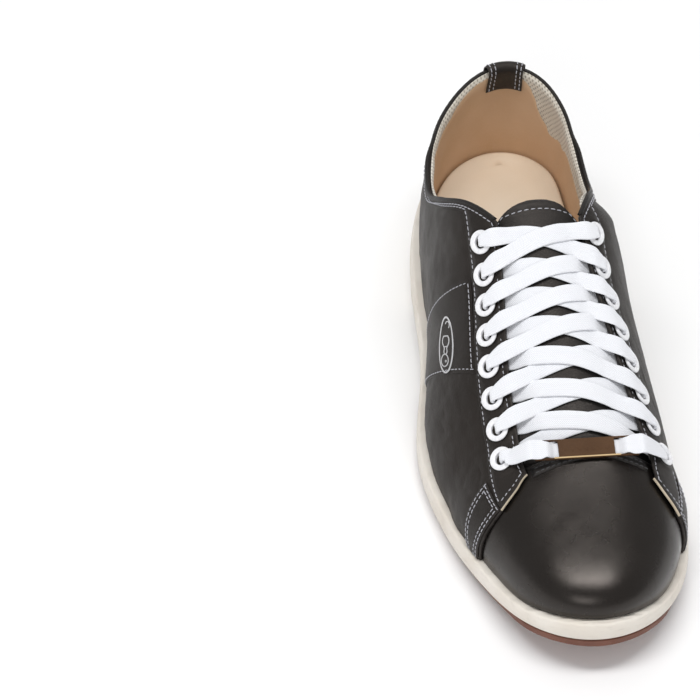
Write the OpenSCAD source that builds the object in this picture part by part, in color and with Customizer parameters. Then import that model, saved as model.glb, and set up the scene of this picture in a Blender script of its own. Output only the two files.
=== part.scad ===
// Right-foot lace-up bowling shoe, in millimetres.
// +Z is up, the toe points towards -Y, the outer (lateral) side is -X.
// The ground is z = 0 and the origin is under the middle of the shoe.

/* [Fit] */
// Length of the upper at its lower edge
upper_length = 292; // [288:1:296]
// Thickness of the upper leather
leather = 1.2; // [1.0:0.1:1.2]
// Thickness of the linings
lining = 0.95; // [0.7:0.05:0.95]

/* [Sole] */
// How far the midsole stands out beyond the upper
sole_lip = 4; // [3:0.5:4.5]
// Thickness of the rubber tread under the front
tread = 3.4; // [2.4:0.2:3.6]
// Length of the separate heel
heel_length = 74; // [66:1:80]

/* [Closure] */
// Eyelets on each side
eyelet_rows = 8; // [8]
// Outer radius of an eyelet's flange
eyelet_flange = 5.4; // [4.8:0.1:5.6]
// Radius of the hole through an eyelet
eyelet_bore = 2.9; // [2.9:0.05:3.0]
// Width of the flat lace
lace_width = 7; // [6:0.25:7]
// Thickness of the flat lace
lace_thickness = 1.1; // [0.8:0.1:1.1]

/* [Hidden] */

$fn = 40;
lateral = -1;
medial = 1;

// ---------------------------------------------------------------- shape of the foot form
// Every table is [fraction of the length from the heel, value].

// Half width to each side of the centre line, before it narrows round the ends
half_lateral = [[0, 64], [.05, 61.5], [.15, 54.5], [.30, 46.7], [.42, 46], [.60, 57.5],
    [.75, 59], [.88, 59.3], [1, 65.5]];
half_medial = [[0, 64], [.05, 58.2], [.15, 45.5], [.30, 43.2], [.42, 43.2], [.60, 47],
    [.72, 52.4], [.85, 58.3], [1, 65.5]];
// Sideways bend of the centre line
centre_x = [[0, .9], [.3, -1.1], [.6, 4], [.85, 6.7], [1, 5.9]];
// Height of the upper's lower edge: raised heel, low ball, toe spring
feather_z = [[0, 27.4], [.15, 27.4], [.35, 20], [.5, 14.2], [.65, 12.6], [.8, 15.2],
    [.92, 20.4], [1, 29.8]];
// Height and sideways place of the top ridge, from the mouth down to the toe
ridge_z = [[0, 128], [.15, 126.5], [.267, 121.7], [.383, 114.5], [.483, 97.6], [.583, 85.3],
    [.683, 70.6], [.773, 59.3], [.867, 53.5]];
ridge_x = [[.15, 2], [.383, -1.5], [.583, 4.7], [.773, 12.3]];
// The ridge stops short of both ends, and the wall closes round it
ridge_back = .15;
ridge_front = .773;
ridge_blend = .0467;
// How the wall bulges low down, how upright it starts and how square it turns over
belly = [[0, -1.3], [.12, 2.6], [.3, 4.7], [.5, 7.7], [.7, 5], [.9, 3.8], [1, 4.5]];
rise = [[0, .47], [.2, .41], [.4, .43], [.6, .36], [.8, .47], [1, .62]];
reach = [[0, .91], [.2, .89], [.35, .91], [.5, .60], [.7, .56], [.85, .69], [1, .63]];

// Height up the wall (0 lower edge, 1 ridge) of the mouth's rim
rim_v = [[0, .434], [.067, .37], [.15, .357], [.25, .385], [.317, .525], [.366, .664],
    [.42, .797]];
rim_end = .42;
// How far the collar's rim is drawn in on the medial side, and over how much of the wall
drawn_in = [[0, 0], [.03, .3], [.07, 1.2], [.15, 2], [.2, 3.2], [.25, 4.8], [.3, 6.4], [.34, 6],
    [.38, 3.6], [.42, 1], [.44, 0]];
drawn_below = .18;
drawn_above = [.03, .17];
// Height up the wall of the eyelets at the top and bottom rows, each side
eyelet_v_lateral = [.703, .58];
eyelet_v_medial = [.72, .51];
eyelet_f_top = .434;
eyelet_f_bottom = .742;
// Steps up the wall from an eyelet to the facing's edge and to its stitched seam
facing_up_lateral = [[.44, .09], [.742, .09], [.79, .115]];
facing_up_medial = [[.44, .078], [.52, .088], [.742, .13], [.79, .17]];
seam_down = [[.40, .085], [.6, .074], [.79, .095]];

// Low start of the upper parts, just clear of the sole
foot_v = .006;
// Length of the wall's curve from the lower edge to the ridge, near enough for trim
wall_height = 108;
// Front edge of the side pieces, as [height up the wall, fraction of the length]
front_lateral = [[0, .834], [.33, .831], [.47, .826], [.59, .812], [.66, .794], [.74, .783]];
front_medial = [[0, .846], [.34, .844], [.44, .841], [.56, .833], [.67, .812], [.75, .79],
    [.8, .783]];
vamp_back = .770;

// Depths below the outer surface of each layer
gap = .1;
stiffener = .75;
stiffener_out = -(leather + 2 * gap);
lining_out = stiffener_out - stiffener - gap;
eyestay_thickness = 1.1;
overlay = .8;
overlap_lift = leather + gap;

// ---------------------------------------------------------------- small maths
function clamp(x, lo, hi) = min(max(x, lo), hi);
function mix(a, b, t) = a + (b - a) * t;
function smooth(lo, hi, x) = let (t = clamp((x - lo) / (hi - lo), 0, 1)) t * t * (3 - 2 * t);
function unit(v) = v / norm(v);
function over(x, w) = x < -w ? 0 : x > w ? x : (x + w) * (x + w) / (4 * w);

// Smooth curve through a table of [x, y] knots
function knot_slope(K, i) =
    let (a = max(i - 1, 0), b = min(i + 1, len(K) - 1))
    (K[b].y - K[a].y) / (K[b].x - K[a].x);
function knot_before(K, x, i) = i + 2 >= len(K) || x < K[i + 1].x ? i : knot_before(K, x, i + 1);
function spline(K, x) =
    let (
        c = clamp(x, K[0].x, K[len(K) - 1].x),
        i = knot_before(K, c, 0),
        h = K[i + 1].x - K[i].x,
        t = (c - K[i].x) / h
    )
    (2 * t * t * t - 3 * t * t + 1) * K[i].y + (t * t * t - 2 * t * t + t) * h * knot_slope(K, i)
    + (3 * t * t - 2 * t * t * t) * K[i + 1].y + (t * t * t - t * t) * h * knot_slope(K, i + 1);

// ---------------------------------------------------------------- surface of the upper
// "a" runs once round the shoe: 0 heel, 1 toe, positive by the lateral side.
// "v" climbs the wall: 0 lower edge, 1 ridge.
function frac(q) = (1 - cos(180 * q)) / 2;
function turn(f) = acos(1 - 2 * clamp(f, 0, 1)) / 180;
function wrap(a) = a - 2 * floor((a + 1) / 2);
function side_of(a) = wrap(a) >= 0 ? lateral : medial;
function at(side, f) = -side * turn(f);
function row_y(s) = upper_length / 2 - s;

function outline(side, q) =
    let (
        f = frac(q),
        half = spline(side == lateral ? half_lateral : half_medial, f)
    )
    [spline(centre_x, f) + side * half * sin(180 * q), upper_length * f, spline(feather_z, f)];

function outline_out(side, q) =
    let (d = outline(side, min(q + .001, 1)) - outline(side, max(q - .001, 0)))
    unit([d.y * side, -d.x * side]);

function ridge_f(f) =
    let (lo = ridge_back + over(f - ridge_back, ridge_blend))
    ridge_front - over(ridge_front - lo, ridge_blend);
function ridge_slope(r) =
    (spline(ridge_z, r + .002) - spline(ridge_z, r - .002)) / (.004 * upper_length);

// The four control points of the wall's curve, in [x, distance from heel, z]
function wall(a) =
    let (
        side = side_of(a),
        q = abs(wrap(a)),
        f = frac(q),
        low = outline(side, q),
        r = ridge_f(f),
        top = [spline(ridge_x, r), upper_length * r, spline(ridge_z, r)],
        out = outline_out(side, q) * spline(belly, f),
        back = (low - top) * spline(reach, f)
    )
    [low, low + [out.x, out.y, spline(rise, f) * (top.z - low.z)],
        top + [back.x, back.y, ridge_slope(r) * back.y], top];

function bezier(P, v) =
    let (u = 1 - v)
    u * u * u * P[0] + 3 * u * u * v * P[1] + 3 * u * v * v * P[2] + v * v * v * P[3];
function bezier_slope(P, v) =
    let (u = 1 - v)
    3 * u * u * (P[1] - P[0]) + 6 * u * v * (P[2] - P[1]) + 3 * v * v * (P[3] - P[2]);
function to_row(p) = [p.x, row_y(p.y), p.z];
function turn_dir(p) = [p.x, -p.y, p.z];

turn_step = .002;
function skin_normal(a, v, P) =
    v > .999
        ? unit([0, ridge_slope(ridge_f(frac(abs(wrap(a))))), 1])
        : unit(cross(
            turn_dir(bezier(wall(a + turn_step), v) - bezier(wall(a - turn_step), v)),
            turn_dir(bezier_slope(P, v))));

function draw_in(a, v) =
    let (f = frac(abs(wrap(a))), rim = spline(rim_v, f))
    side_of(a) == lateral
        ? 0
        : spline(drawn_in, f) * smooth(rim - drawn_below, rim, v)
            * (1 - smooth(rim + drawn_above[0], rim + drawn_above[1], v));

// Point on the upper's outer surface, moved outwards by "off"
function skin(a, v, off) =
    let (P = wall(a))
    to_row(bezier(P, v)) + off * skin_normal(a, v, P) - [draw_in(a, v), 0, 0];

// ---------------------------------------------------------------- lines on the upper
function eyelet_share(f) = clamp((f - eyelet_f_top) / (eyelet_f_bottom - eyelet_f_top), -.15, 1.2);
function eyelet_v(side, f) =
    let (E = side == lateral ? eyelet_v_lateral : eyelet_v_medial)
    mix(E[0], E[1], eyelet_share(f));
function edge_v(side, f) =
    eyelet_v(side, f) + spline(side == lateral ? facing_up_lateral : facing_up_medial, f);
// Height of the mouth's rim and then of the facing's edge, joined by a short bend
rim_bend = .035;
function top_v(side, f) =
    mix(spline(rim_v, f), edge_v(side, f), smooth(rim_end, rim_end + rim_bend, f));
function seam_v(side, f) =
    let (along = eyelet_v(side, f) - spline(seam_down, f))
    mix(spline(rim_v, f) - .012, min(along, top_v(side, f) - .05), smooth(.16, .36, f));
function front_f(side, v) = spline(side == lateral ? front_lateral : front_medial, v);
function lift(f) = overlap_lift * smooth(.70, .766, f);
// Even steps along the row, each a little shorter towards the mouth
function eyelet_f(row) =
    let (u = (row - 1) / (eyelet_rows - 1))
    mix(eyelet_f_top, eyelet_f_bottom, u - .06 * u * (1 - u));

// ---------------------------------------------------------------- shell builders
// A grid is a list of columns; each column is a list of [a, v, inner, outer].
function shell_points(grid) = [
    for (layer = [2, 3]) for (col = grid) for (p = col) skin(p[0], p[1], p[layer])
];
function quad(a, b, c, d) = [[a, b, c], [a, c, d]];
function shell_faces(n, m) =
    let (
        top = n * m,
        id = function (i, j) i * m + j
    )
    concat(
        [for (i = [0:n - 2]) for (j = [0:m - 2])
            each quad(id(i, j), id(i + 1, j), id(i + 1, j + 1), id(i, j + 1))],
        [for (i = [0:n - 2]) for (j = [0:m - 2])
            each quad(top + id(i, j), top + id(i, j + 1), top + id(i + 1, j + 1),
                top + id(i + 1, j))],
        [for (i = [0:n - 2])
            each quad(id(i, 0), top + id(i, 0), top + id(i + 1, 0), id(i + 1, 0))],
        [for (i = [0:n - 2])
            each quad(id(i + 1, m - 1), top + id(i + 1, m - 1), top + id(i, m - 1), id(i, m - 1))],
        [for (j = [0:m - 2])
            each quad(id(0, j + 1), top + id(0, j + 1), top + id(0, j), id(0, j))],
        [for (j = [0:m - 2])
            each quad(id(n - 1, j), top + id(n - 1, j), top + id(n - 1, j + 1), id(n - 1, j + 1))]
    );
module shell(grid) {
    polyhedron(shell_points(grid), shell_faces(len(grid), len(grid[0])), convexity = 6);
}

// A side patch between two heights; with "follow" its front edge bends with the height
front_near = .8;
function side_grid(side, f_back, f_front, low, high, layers, columns, rows, follow = false) = [
    for (i = [0:columns])
        [for (j = [0:rows])
            let (
                v0 = mix(low(front_near), high(front_near), j / rows),
                end = follow ? front_f(side, v0) : f_front,
                q = mix(turn(f_back), turn(end), i / columns),
                f = frac(q),
                v = mix(low(f), high(f), j / rows)
            )
            [-side * q, v, layers(f)[0], layers(f)[1]]]
];
// Grids that run the other way round the shoe are turned over to face outwards
function facing_out(side, grid) =
    side == lateral ? grid : [for (i = [len(grid) - 1:-1:0]) grid[i]];

// Shell round the toe, closed along the ridge like a zip
toe_columns = 40;
toe_rows = 11;
toe_half = toe_columns / 2;
function toe_a(f_back, i) =
    let (q = mix(turn(f_back), 1, min(i, toe_columns - i) / toe_half))
    i <= toe_half ? q : 2 - q;
function toe_closed(f_back) =
    [for (i = [0:toe_half]) if (frac(toe_a(f_back, i)) >= ridge_front + ridge_blend) i][0];
function toe_layer(f_back, off) = concat(
    [for (i = [0:toe_columns]) for (j = [0:toe_rows - 1])
        skin(toe_a(f_back, i), mix(foot_v, 1, j / toe_rows), off)],
    [for (i = [0:toe_closed(f_back)]) skin(toe_a(f_back, i), 1, off)]
);
function toe_id(f_back, layer, i, j) =
    let (
        size = (toe_columns + 1) * toe_rows + toe_closed(f_back) + 1,
        rim = min(i, toe_columns - i, toe_closed(f_back))
    )
    layer * size + (j < toe_rows ? i * toe_rows + j : (toe_columns + 1) * toe_rows + rim);
function proper(faces) = [for (t = faces) if (t[0] != t[1] && t[1] != t[2] && t[2] != t[0]) t];
function toe_faces(f_back) =
    let (id = function (layer, i, j) toe_id(f_back, layer, i, j), n = toe_columns, m = toe_rows)
    proper(concat(
        [for (i = [0:n - 1]) for (j = [0:m - 1])
            each quad(id(0, i, j), id(0, i + 1, j), id(0, i + 1, j + 1), id(0, i, j + 1))],
        [for (i = [0:n - 1]) for (j = [0:m - 1])
            each quad(id(1, i, j), id(1, i, j + 1), id(1, i + 1, j + 1), id(1, i + 1, j))],
        [for (i = [0:n - 1])
            each quad(id(0, i, 0), id(1, i, 0), id(1, i + 1, 0), id(0, i + 1, 0))],
        [for (j = [0:m - 1])
            each quad(id(0, 0, j + 1), id(1, 0, j + 1), id(1, 0, j), id(0, 0, j))],
        [for (j = [0:m - 1])
            each quad(id(0, n, j), id(1, n, j), id(1, n, j + 1), id(0, n, j + 1))]
    ));
module toe_shell(f_back, inner, outer) {
    polyhedron(concat(toe_layer(f_back, inner), toe_layer(f_back, outer)), toe_faces(f_back),
        convexity = 6);
}

// Plate lofted through upright sections; each section is a loop of 3-D points
function loft_faces(n, k, cap) = concat(
    [for (i = [0:n - 2]) for (j = [0:k - 1])
        let (next = (j + 1) % k)
        each quad(i * k + j, (i + 1) * k + j, (i + 1) * k + next, i * k + next)],
    [for (t = cap) [t[0], t[1], t[2]]],
    [for (t = cap) [for (c = [2:-1:0]) (n - 1) * k + t[c]]]
);
module loft(sections, cap) {
    k = len(sections[0]);
    polyhedron([for (s = sections) each s], loft_faces(len(sections), k, cap), convexity = 8);
}
plain_cap = [[0, 1, 2], [0, 2, 3]];
recess_cap = [[0, 6, 7], [0, 5, 6], [0, 4, 5], [0, 1, 4], [1, 3, 4], [1, 2, 3]];

// ---------------------------------------------------------------- sole unit
// Turn at which a sole plate's end is cut square across
sole_end = .03;
sole_top_rise = .35;
midsole_low = [[0, 12], [.3, 10.7], [.4, 8.2], [.5, 4.8], [.62, 3], [.75, 4.4], [.87, 9.6],
    [1, 20.4]];
tread_back = .455;
// The tread steps in under the sides and comes out flush round the toe
tread_inset = [[.455, 2.2], [.90, 2.2], [.955, .6], [1, .4]];
recess_depth = 3;
recess_from = .17;
recess_to = .91;
heel_taper = 2;

function sole_low(f) = max(tread, spline(midsole_low, f));
function sole_high(f) = spline(feather_z, f) + sole_top_rise;
function edge_point(side, q, lip) =
    let (p = outline(side, q), out = outline_out(side, q))
    [p.x + lip * out.x, row_y(p.y + lip * out.y)];
function raise(p, z) = [p.x, p.y, z];
function plate_section(q, lip_low, lip_high, z_low, z_high) = [
    raise(edge_point(lateral, q, lip_low), z_low),
    raise(edge_point(medial, q, lip_low), z_low),
    raise(edge_point(medial, q, lip_high), z_high),
    raise(edge_point(lateral, q, lip_high), z_high)
];
// Point under the midsole, "inset" in from one side along the straight line to the other
function under_edge(side, q, inset) =
    let (near = edge_point(side, q, sole_lip), far = edge_point(-side, q, sole_lip))
    near + unit(far - near) * inset;
function steps(from, to, n) = [for (i = [0:n]) mix(from, to, i / n)];

sole_steps = steps(sole_end, 1 - sole_end, 56);

function recess_half(f) = mix(9, 23, smooth(.57, .61, f));
function recess_at(f) =
    .05 + recess_depth * smooth(recess_from, recess_from + .02, f)
    * (1 - smooth(recess_to - .02, recess_to, f));
function recess_edge(q, sign) =
    let (
        l = edge_point(lateral, q, 0),
        m = edge_point(medial, q, 0),
        share = .5 + sign * min(.45, recess_half(frac(q)) / norm(m - l))
    )
    mix(l, m, share);
function midsole_section(q) =
    let (
        f = frac(q),
        low = sole_low(f),
        high = sole_high(f),
        p = plate_section(q, sole_lip, sole_lip - .4, low, high)
    )
    [p[0], p[1], p[2],
        raise(recess_edge(q, 1), high), raise(recess_edge(q, 1), high - recess_at(f)),
        raise(recess_edge(q, -1), high - recess_at(f)), raise(recess_edge(q, -1), high), p[3]];

module midsole() {
    color([.93, .9, .86])
        loft([for (q = sole_steps) midsole_section(q)], recess_cap);
}

module outsole_forepart() {
    contact = .08;
    color([.43, .25, .18])
        loft([for (q = sole_steps) if (frac(q) >= tread_back)
            let (
                f = frac(q),
                t = mix(.7, tread, smooth(tread_back, tread_back + .09, f)),
                l = under_edge(lateral, q, spline(tread_inset, f)),
                m = under_edge(medial, q, spline(tread_inset, f)),
                low = sole_low(f)
            )
            [raise(l, low - t), raise(m, low - t), raise(m, low - contact), raise(l, low - contact)]],
            plain_cap);
}

module heel_lift() {
    contact = .08;
    color([.9, .87, .82])
        loft([for (q = steps(sole_end, turn(heel_length / upper_length), 18))
            plate_section(q, sole_lip - heel_taper, sole_lip - .3, 0, sole_low(frac(q)) - contact)],
            plain_cap);
}

module cork_filler() {
    from = .62;
    to = .87;
    color([.72, .55, .38])
        loft([for (q = steps(turn(from), turn(to), 12))
            let (
                f = frac(q),
                a = mix(recess_edge(q, -1), recess_edge(q, 1), .02),
                b = mix(recess_edge(q, -1), recess_edge(q, 1), .98),
                z0 = sole_high(f) - recess_depth + .1,
                z1 = sole_high(f) - .1
            )
            [raise(a, z0), raise(b, z0), raise(b, z1), raise(a, z1)]], plain_cap);
}

module shank() {
    from = .2;
    to = .565;
    thickness = 1.5;
    color([.6, .62, .64])
        loft([for (q = steps(turn(from), turn(to), 16))
            let (
                f = frac(q),
                a = mix(recess_edge(q, -1), recess_edge(q, 1), .1),
                b = mix(recess_edge(q, -1), recess_edge(q, 1), .9),
                z0 = sole_high(f) - recess_depth + .15
            )
            [raise(a, z0), raise(b, z0), raise(b, z0 + thickness), raise(a, z0 + thickness)]],
            plain_cap);
}

board_up = .45;
board = 2;
liner = 2.5;
board_inset = -3.7;
liner_inset = -4.3;
function inner_plate(inset, low, high) = [
    for (q = steps(sole_end, 1 - sole_end, 44))
        let (z = spline(feather_z, frac(q)))
        plate_section(q, inset, inset, z + low, z + high)
];
module insole_board() {
    color([.62, .5, .36])
        loft(inner_plate(board_inset, board_up, board_up + board), plain_cap);
}
module sock_liner() {
    low = board_up + board + .05;
    color([.87, .8, .68])
        loft(inner_plate(liner_inset, low, low + liner), plain_cap);
}

// ---------------------------------------------------------------- upper
black = [.1, .1, .11];
heel_lining_f = .22;

module vamp() {
    color(black) toe_shell(vamp_back, -gap - leather, -gap);
}
module vamp_lining() {
    color([.82, .76, .66]) toe_shell(vamp_back, lining_out - lining, lining_out);
}
module toe_puff() {
    first = 6;
    high_row = 9;
    color([.75, .72, .66])
        shell([for (i = [first:toe_columns - first])
            [for (j = [1:high_row])
                [toe_a(vamp_back, i), mix(foot_v, 1, j / toe_rows), stiffener_out - stiffener,
                    stiffener_out]]]);
}

// The quarter's foot stays clear of the sole where it rides over the vamp
function quarter_foot(f) = foot_v + .012 * smooth(.68, .76, f);
function quarter_top(side, f) = min(top_v(side, f), seam_v(side, f) + .028);
function quarter_layers(f) = [lift(f) - gap - leather, lift(f) - gap];
module quarter(side) {
    color(black)
        shell(facing_out(side, side_grid(side, 0.0002, 1, function (f) quarter_foot(f),
            function (f) quarter_top(side, f), function (f) quarter_layers(f), 40, 14, true)));
}
module lateral_quarter() quarter(lateral);
module medial_quarter() quarter(medial);

module eyelet_bores(side) {
    clearance = .08;
    for (row = [1:eyelet_rows])
        place_eyelet(side, row) translate([0, 0, -4]) cylinder(r = eyelet_bore + .45 + clearance, h = 9);
}
// An eyelet seats on the highest leather under its flange, which is at its front edge
flange_share = .016;
module place_eyelet(side, row) {
    f = eyelet_f(row);
    a = at(side, f);
    v = eyelet_v(side, f);
    n = skin_normal(a, v, wall(a));
    translate(skin(a, v, lift(f + flange_share))) rotate([0, acos(n.z), atan2(n.y, n.x)]) children();
}

eyestay_back = .17;
module eyestay(side) {
    color(black) difference() {
        shell(facing_out(side, side_grid(side, eyestay_back, 1, function (f) seam_v(side, f),
            function (f) top_v(side, f), function (f) [lift(f) + gap, lift(f) + eyestay_thickness],
            36, 8, true)));
        eyelet_bores(side);
    }
}
module lateral_eyestay() eyestay(lateral);
module medial_eyestay() eyestay(medial);

module facing_lining(side) {
    back = .372;
    front = .764;
    color([.2, .19, .19]) difference() {
        shell(facing_out(side, side_grid(side, back, front,
            function (f) seam_v(side, f) + .036, function (f) top_v(side, f) - .008,
            function (f) [lift(f) - lining - 2 * gap, lift(f) - 2 * gap], 24, 2)));
        eyelet_bores(side);
    }
}
module lateral_facing_lining() facing_lining(lateral);
module medial_facing_lining() facing_lining(medial);

function lining_top(side, f) =
    mix(top_v(side, f) - .01, seam_v(side, f) + .01, smooth(.33, .40, f));
module side_lining(side) {
    color([.86, .83, .78])
        shell(facing_out(side, side_grid(side, heel_lining_f, vamp_back - .004,
            function (f) foot_v, function (f) lining_top(side, f),
            function (f) [lining_out - lining, lining_out], 22, 8)));
}
module lateral_lining() side_lining(lateral);
module medial_lining() side_lining(medial);

// Patch that runs round the heel between two heights
function heel_grid(f_end, low, high, inner, outer, columns, rows) =
    let (end = turn(f_end))
    [for (i = [0:columns])
        let (a = mix(-end, end, i / columns), f = frac(abs(a)))
        [for (j = [0:rows]) [a, mix(low, high(f), j / rows), inner, outer]]];
module heel_lining() {
    color([.87, .78, .64])
        shell(heel_grid(heel_lining_f - .004, foot_v, function (f) spline(rim_v, f) - .01,
            lining_out - lining, lining_out, 28, 10));
}
module heel_counter() {
    color([.7, .66, .58])
        shell(heel_grid(.2, .03, function (f) mix(.29, .12, smooth(.06, .19, f)),
            stiffener_out - stiffener, stiffener_out, 28, 8));
}

module side_bar(side) {
    back_top = .76;
    back_low = .798;
    front_inset = .004;
    top = seam_v(side, .79) - .012;
    color(black)
        shell(facing_out(side, [for (i = [0:4])
            [for (j = [0:8])
                let (
                    v = mix(.02, top, j / 8),
                    f = mix(mix(back_low, back_top, j / 8), front_f(side, v) - front_inset, i / 4)
                )
                [at(side, f), v, lift(f) + .02, lift(f) + overlay]]]));
}
module lateral_side_bar() side_bar(lateral);
module medial_side_bar() side_bar(medial);

// Corners of the stitched panel, as [fraction of length, share of the way up to the seam]
module saddle_panel() {
    color(black)
        shell([for (i = [0:8])
            [for (j = [0:8])
                let (
                    u = i / 8,
                    t = j / 8,
                    f = mix(mix(.385, .463, t), mix(.48, .6, t), u),
                    v = mix(.02, seam_v(lateral, f) - .008, t)
                )
                [at(lateral, f), v, .07, .6]]]);
}

module badge_oval() {
    middle_f = .519;
    middle_v = .41;
    half_long = 12 / upper_length;
    half_tall = .05;
    lean_along = .3;
    lean_up = -.25;
    n = 8;
    color([.8, .8, .8])
        shell([for (i = [-n / 2:n / 2])
            [for (j = [-n / 2:n / 2])
                let (
                    u = 2 * i / n,
                    t = 2 * j / n,
                    x = u * sqrt(1 - t * t / 2),
                    y = t * sqrt(1 - u * u / 2),
                    f = middle_f + half_long * (x + lean_along * y),
                    v = middle_v + half_tall * (y + lean_up * x)
                )
                [at(lateral, f), v, .68, 1.08]]]);
}

// Strip that folds over the top of the heel; its path is [v, off] pairs
heel_tab_half = .055;
module heel_tab() {
    rim = rim_v[0].y;
    half_thick = .42;
    path = [[.05, .45], [.15, .45], [.26, .45], [.36, .45], [rim, .45], [rim + .022, .35],
        [rim + .036, -1.0], [rim + .036, -3.2], [rim + .022, -4.4], [rim, -4.5], [rim - .04, -4.5],
        [rim - .08, -4.5]];
    thick = [for (i = [0:len(path) - 1])
        let (
            p = path[max(i - 1, 0)],
            q = path[min(i + 1, len(path) - 1)],
            d = unit([(q.x - p.x) * wall_height, q.y - p.y])
        )
        [d.y / wall_height, -d.x] * half_thick];
    function tab_point(a, i, sign) =
        let (r = spline(rim_v, frac(abs(a))) - rim)
        skin(a, path[i].x + sign * thick[i].x + (path[i].x > .3 ? r : 0),
            path[i].y + sign * thick[i].y);
    n = 6;
    k = len(path);
    color(black)
        loft([for (s = [0:n])
            let (a = mix(-heel_tab_half, heel_tab_half, s / n))
            concat([for (i = [0:k - 1]) tab_point(a, i, 1)],
                [for (i = [k - 1:-1:0]) tab_point(a, i, -1)])],
            [for (i = [0:k - 2]) each [[i, i + 1, 2 * k - 2 - i], [i, 2 * k - 2 - i, 2 * k - 1 - i]]]);
}

module collar_binding() {
    n = 48;
    color(black)
        loft([for (i = [0:n])
            let (
                a = mix(-turn(rim_end - .003), turn(rim_end - .003), i / n),
                side = a > 0 ? lateral : medial,
                f = frac(abs(a)),
                out = mix(-gap, eyestay_thickness, smooth(.13, .18, f)),
                inside = mix(lining_out - lining, -leather, smooth(.30, .36, f)),
                up = top_v(side, f)
            )
            [for (p = [[inside, .45], [inside, 1.3], [inside + .8, 2.1], [out - .8, 2.1], [out, 1.3],
                [out, .45]])
                skin(a, up + p.y / wall_height, p.x)]],
            [[0, 1, 2], [0, 2, 3], [0, 3, 4], [0, 4, 5]]);
}

// ---------------------------------------------------------------- tongue
tongue_top = -2.9;
tongue_thick = 2.5;
tongue_f = [.403, .797];
tongue_round = .04;
tongue_dip = 1.6;
function tongue_sink(f) = -tongue_dip * smooth(.735, .765, f);
function tongue_half(side, f, inset) =
    let (
        full = 1 - eyelet_v(side, max(f, eyelet_f_top)) - .012,
        x = clamp((tongue_f[0] + tongue_round - f) / tongue_round, 0, .97)
    )
    (full - inset) * sqrt(1 - x * x);
function tongue_grid(low, high, inset) = [
    for (i = [0:24])
        let (u = i / 24, f = mix(tongue_f[0] + inset / 6, tongue_f[1], mix(u * u, u, .6)))
        [for (j = [-6:6])
            let (
                side = j < 0 ? lateral : medial,
                half = tongue_half(side, f, inset),
                sink = tongue_sink(f)
            )
            [at(side, f), 1 - abs(j) / 6 * half, low + sink, high + sink]]
];
module tongue() {
    color(black) shell(tongue_grid(tongue_top - tongue_thick, tongue_top, 0));
}
module tongue_lining() {
    top = tongue_top - tongue_thick - gap;
    color([.35, .24, .17]) shell(tongue_grid(top - .8, top, .012));
}

// ---------------------------------------------------------------- closure
module eyelet() {
    barrel = eyelet_bore + .45;
    low = -1.3;
    seat = eyestay_thickness + .5;
    rotate_extrude()
        polygon([[eyelet_bore, low], [barrel, low], [barrel, seat], [eyelet_flange, seat],
            [eyelet_flange, seat + .35], [eyelet_flange - .5, seat + .7], [barrel + .3, seat + .75],
            [eyelet_bore, seat + .5]]);
}
module eyelets(side) {
    color([.93, .93, .94])
        for (row = [1:eyelet_rows]) place_eyelet(side, row) eyelet();
}
module lateral_eyelets() eyelets(lateral);
module medial_eyelets() eyelets(medial);

// The lace is a path of [point, width, direction of its width].
// Across the throat "w" runs from -1 at the lateral eyelets to 1 at the medial ones.
over_facing = 3.3;
under_facing = -2.2;
crossing_high = -.75;
crossing_low = -1.98;
hole_w = .917;
pinched = 3.3;

function lace_point(w, f, off) =
    let (side = w < 0 ? lateral : medial, v = 1 - abs(w) * (1 - eyelet_v(side, f)))
    skin(at(side, f), v, off + lift(f) * smooth(.5, .8, abs(w)));
function lace_along(w, f) =
    let (side = w < 0 ? lateral : medial, v = 1 - abs(w) * (1 - eyelet_v(side, f)))
    unit(skin(at(side, f - .004), v, 0) - skin(at(side, f + .004), v, 0));
function lace_knot(w, f, off, width) = [lace_point(w, f, off), width, lace_along(w, f)];

// Half of a diagonal, from an eyelet's hole (share 1) to the middle: [share, off, width]
function half_over(middle) = [
    [.975, .2, pinched], [.975, 1.4, pinched], [.972, 2.7, pinched], [.945, over_facing, 3.8],
    [.915, over_facing, 4.4],
    [.87, over_facing, 5.8], [.79, over_facing, lace_width],
    [.70, mix(over_facing, middle, .22), lace_width],
    [.58, mix(over_facing, middle, .70), lace_width], [.46, mix(over_facing, middle, .98), lace_width],
    [.3, middle, lace_width], [.15, middle, lace_width]
];
function half_under(middle) = [
    [.15, middle, lace_width], [.3, middle, lace_width], [.47, middle, lace_width],
    [.6, mix(middle, under_facing, .6), lace_width], [.70, under_facing, lace_width],
    [.79, under_facing, lace_width], [.87, under_facing, 5.6], [.92, under_facing, 4.4],
    [.957, -1.9, pinched], [.975, -.8, pinched]
];
function backwards(list) = [for (i = [len(list) - 1:-1:0]) list[i]];

// Diagonal from one side's eyelet in row_a to the other side's in row_b
function diagonal(from, row_a, row_b, first, middle, last) =
    let (fa = eyelet_f(row_a), fb = eyelet_f(row_b))
    concat(
        [for (p = first) lace_knot(from * p[0], mix(fa, fb, (1 - p[0]) / 2), p[1], p[2])],
        [lace_knot(0, (fa + fb) / 2, middle, lace_width)],
        [for (p = last) lace_knot(-from * p[0], mix(fa, fb, (1 + p[0]) / 2), p[1], p[2])]
    );
// The side whose lace lies on top changes above the sixth row
function on_top(from, row) = (row >= 6) == (from == medial);
function crossing(from, row) = on_top(from, row) ? crossing_high : crossing_low;
function run(from, row) =
    let (c = crossing(from, row))
    row == eyelet_rows ? diagonal(from, row, row - 1, backwards(half_under(c - .15)), c - .15,
            half_under(c - .15))
        : row == 2 ? diagonal(from, row, 1, half_over(c), c, backwards(half_over(c)))
            : diagonal(from, row, row - 1, half_over(c), c, half_under(c));

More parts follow.
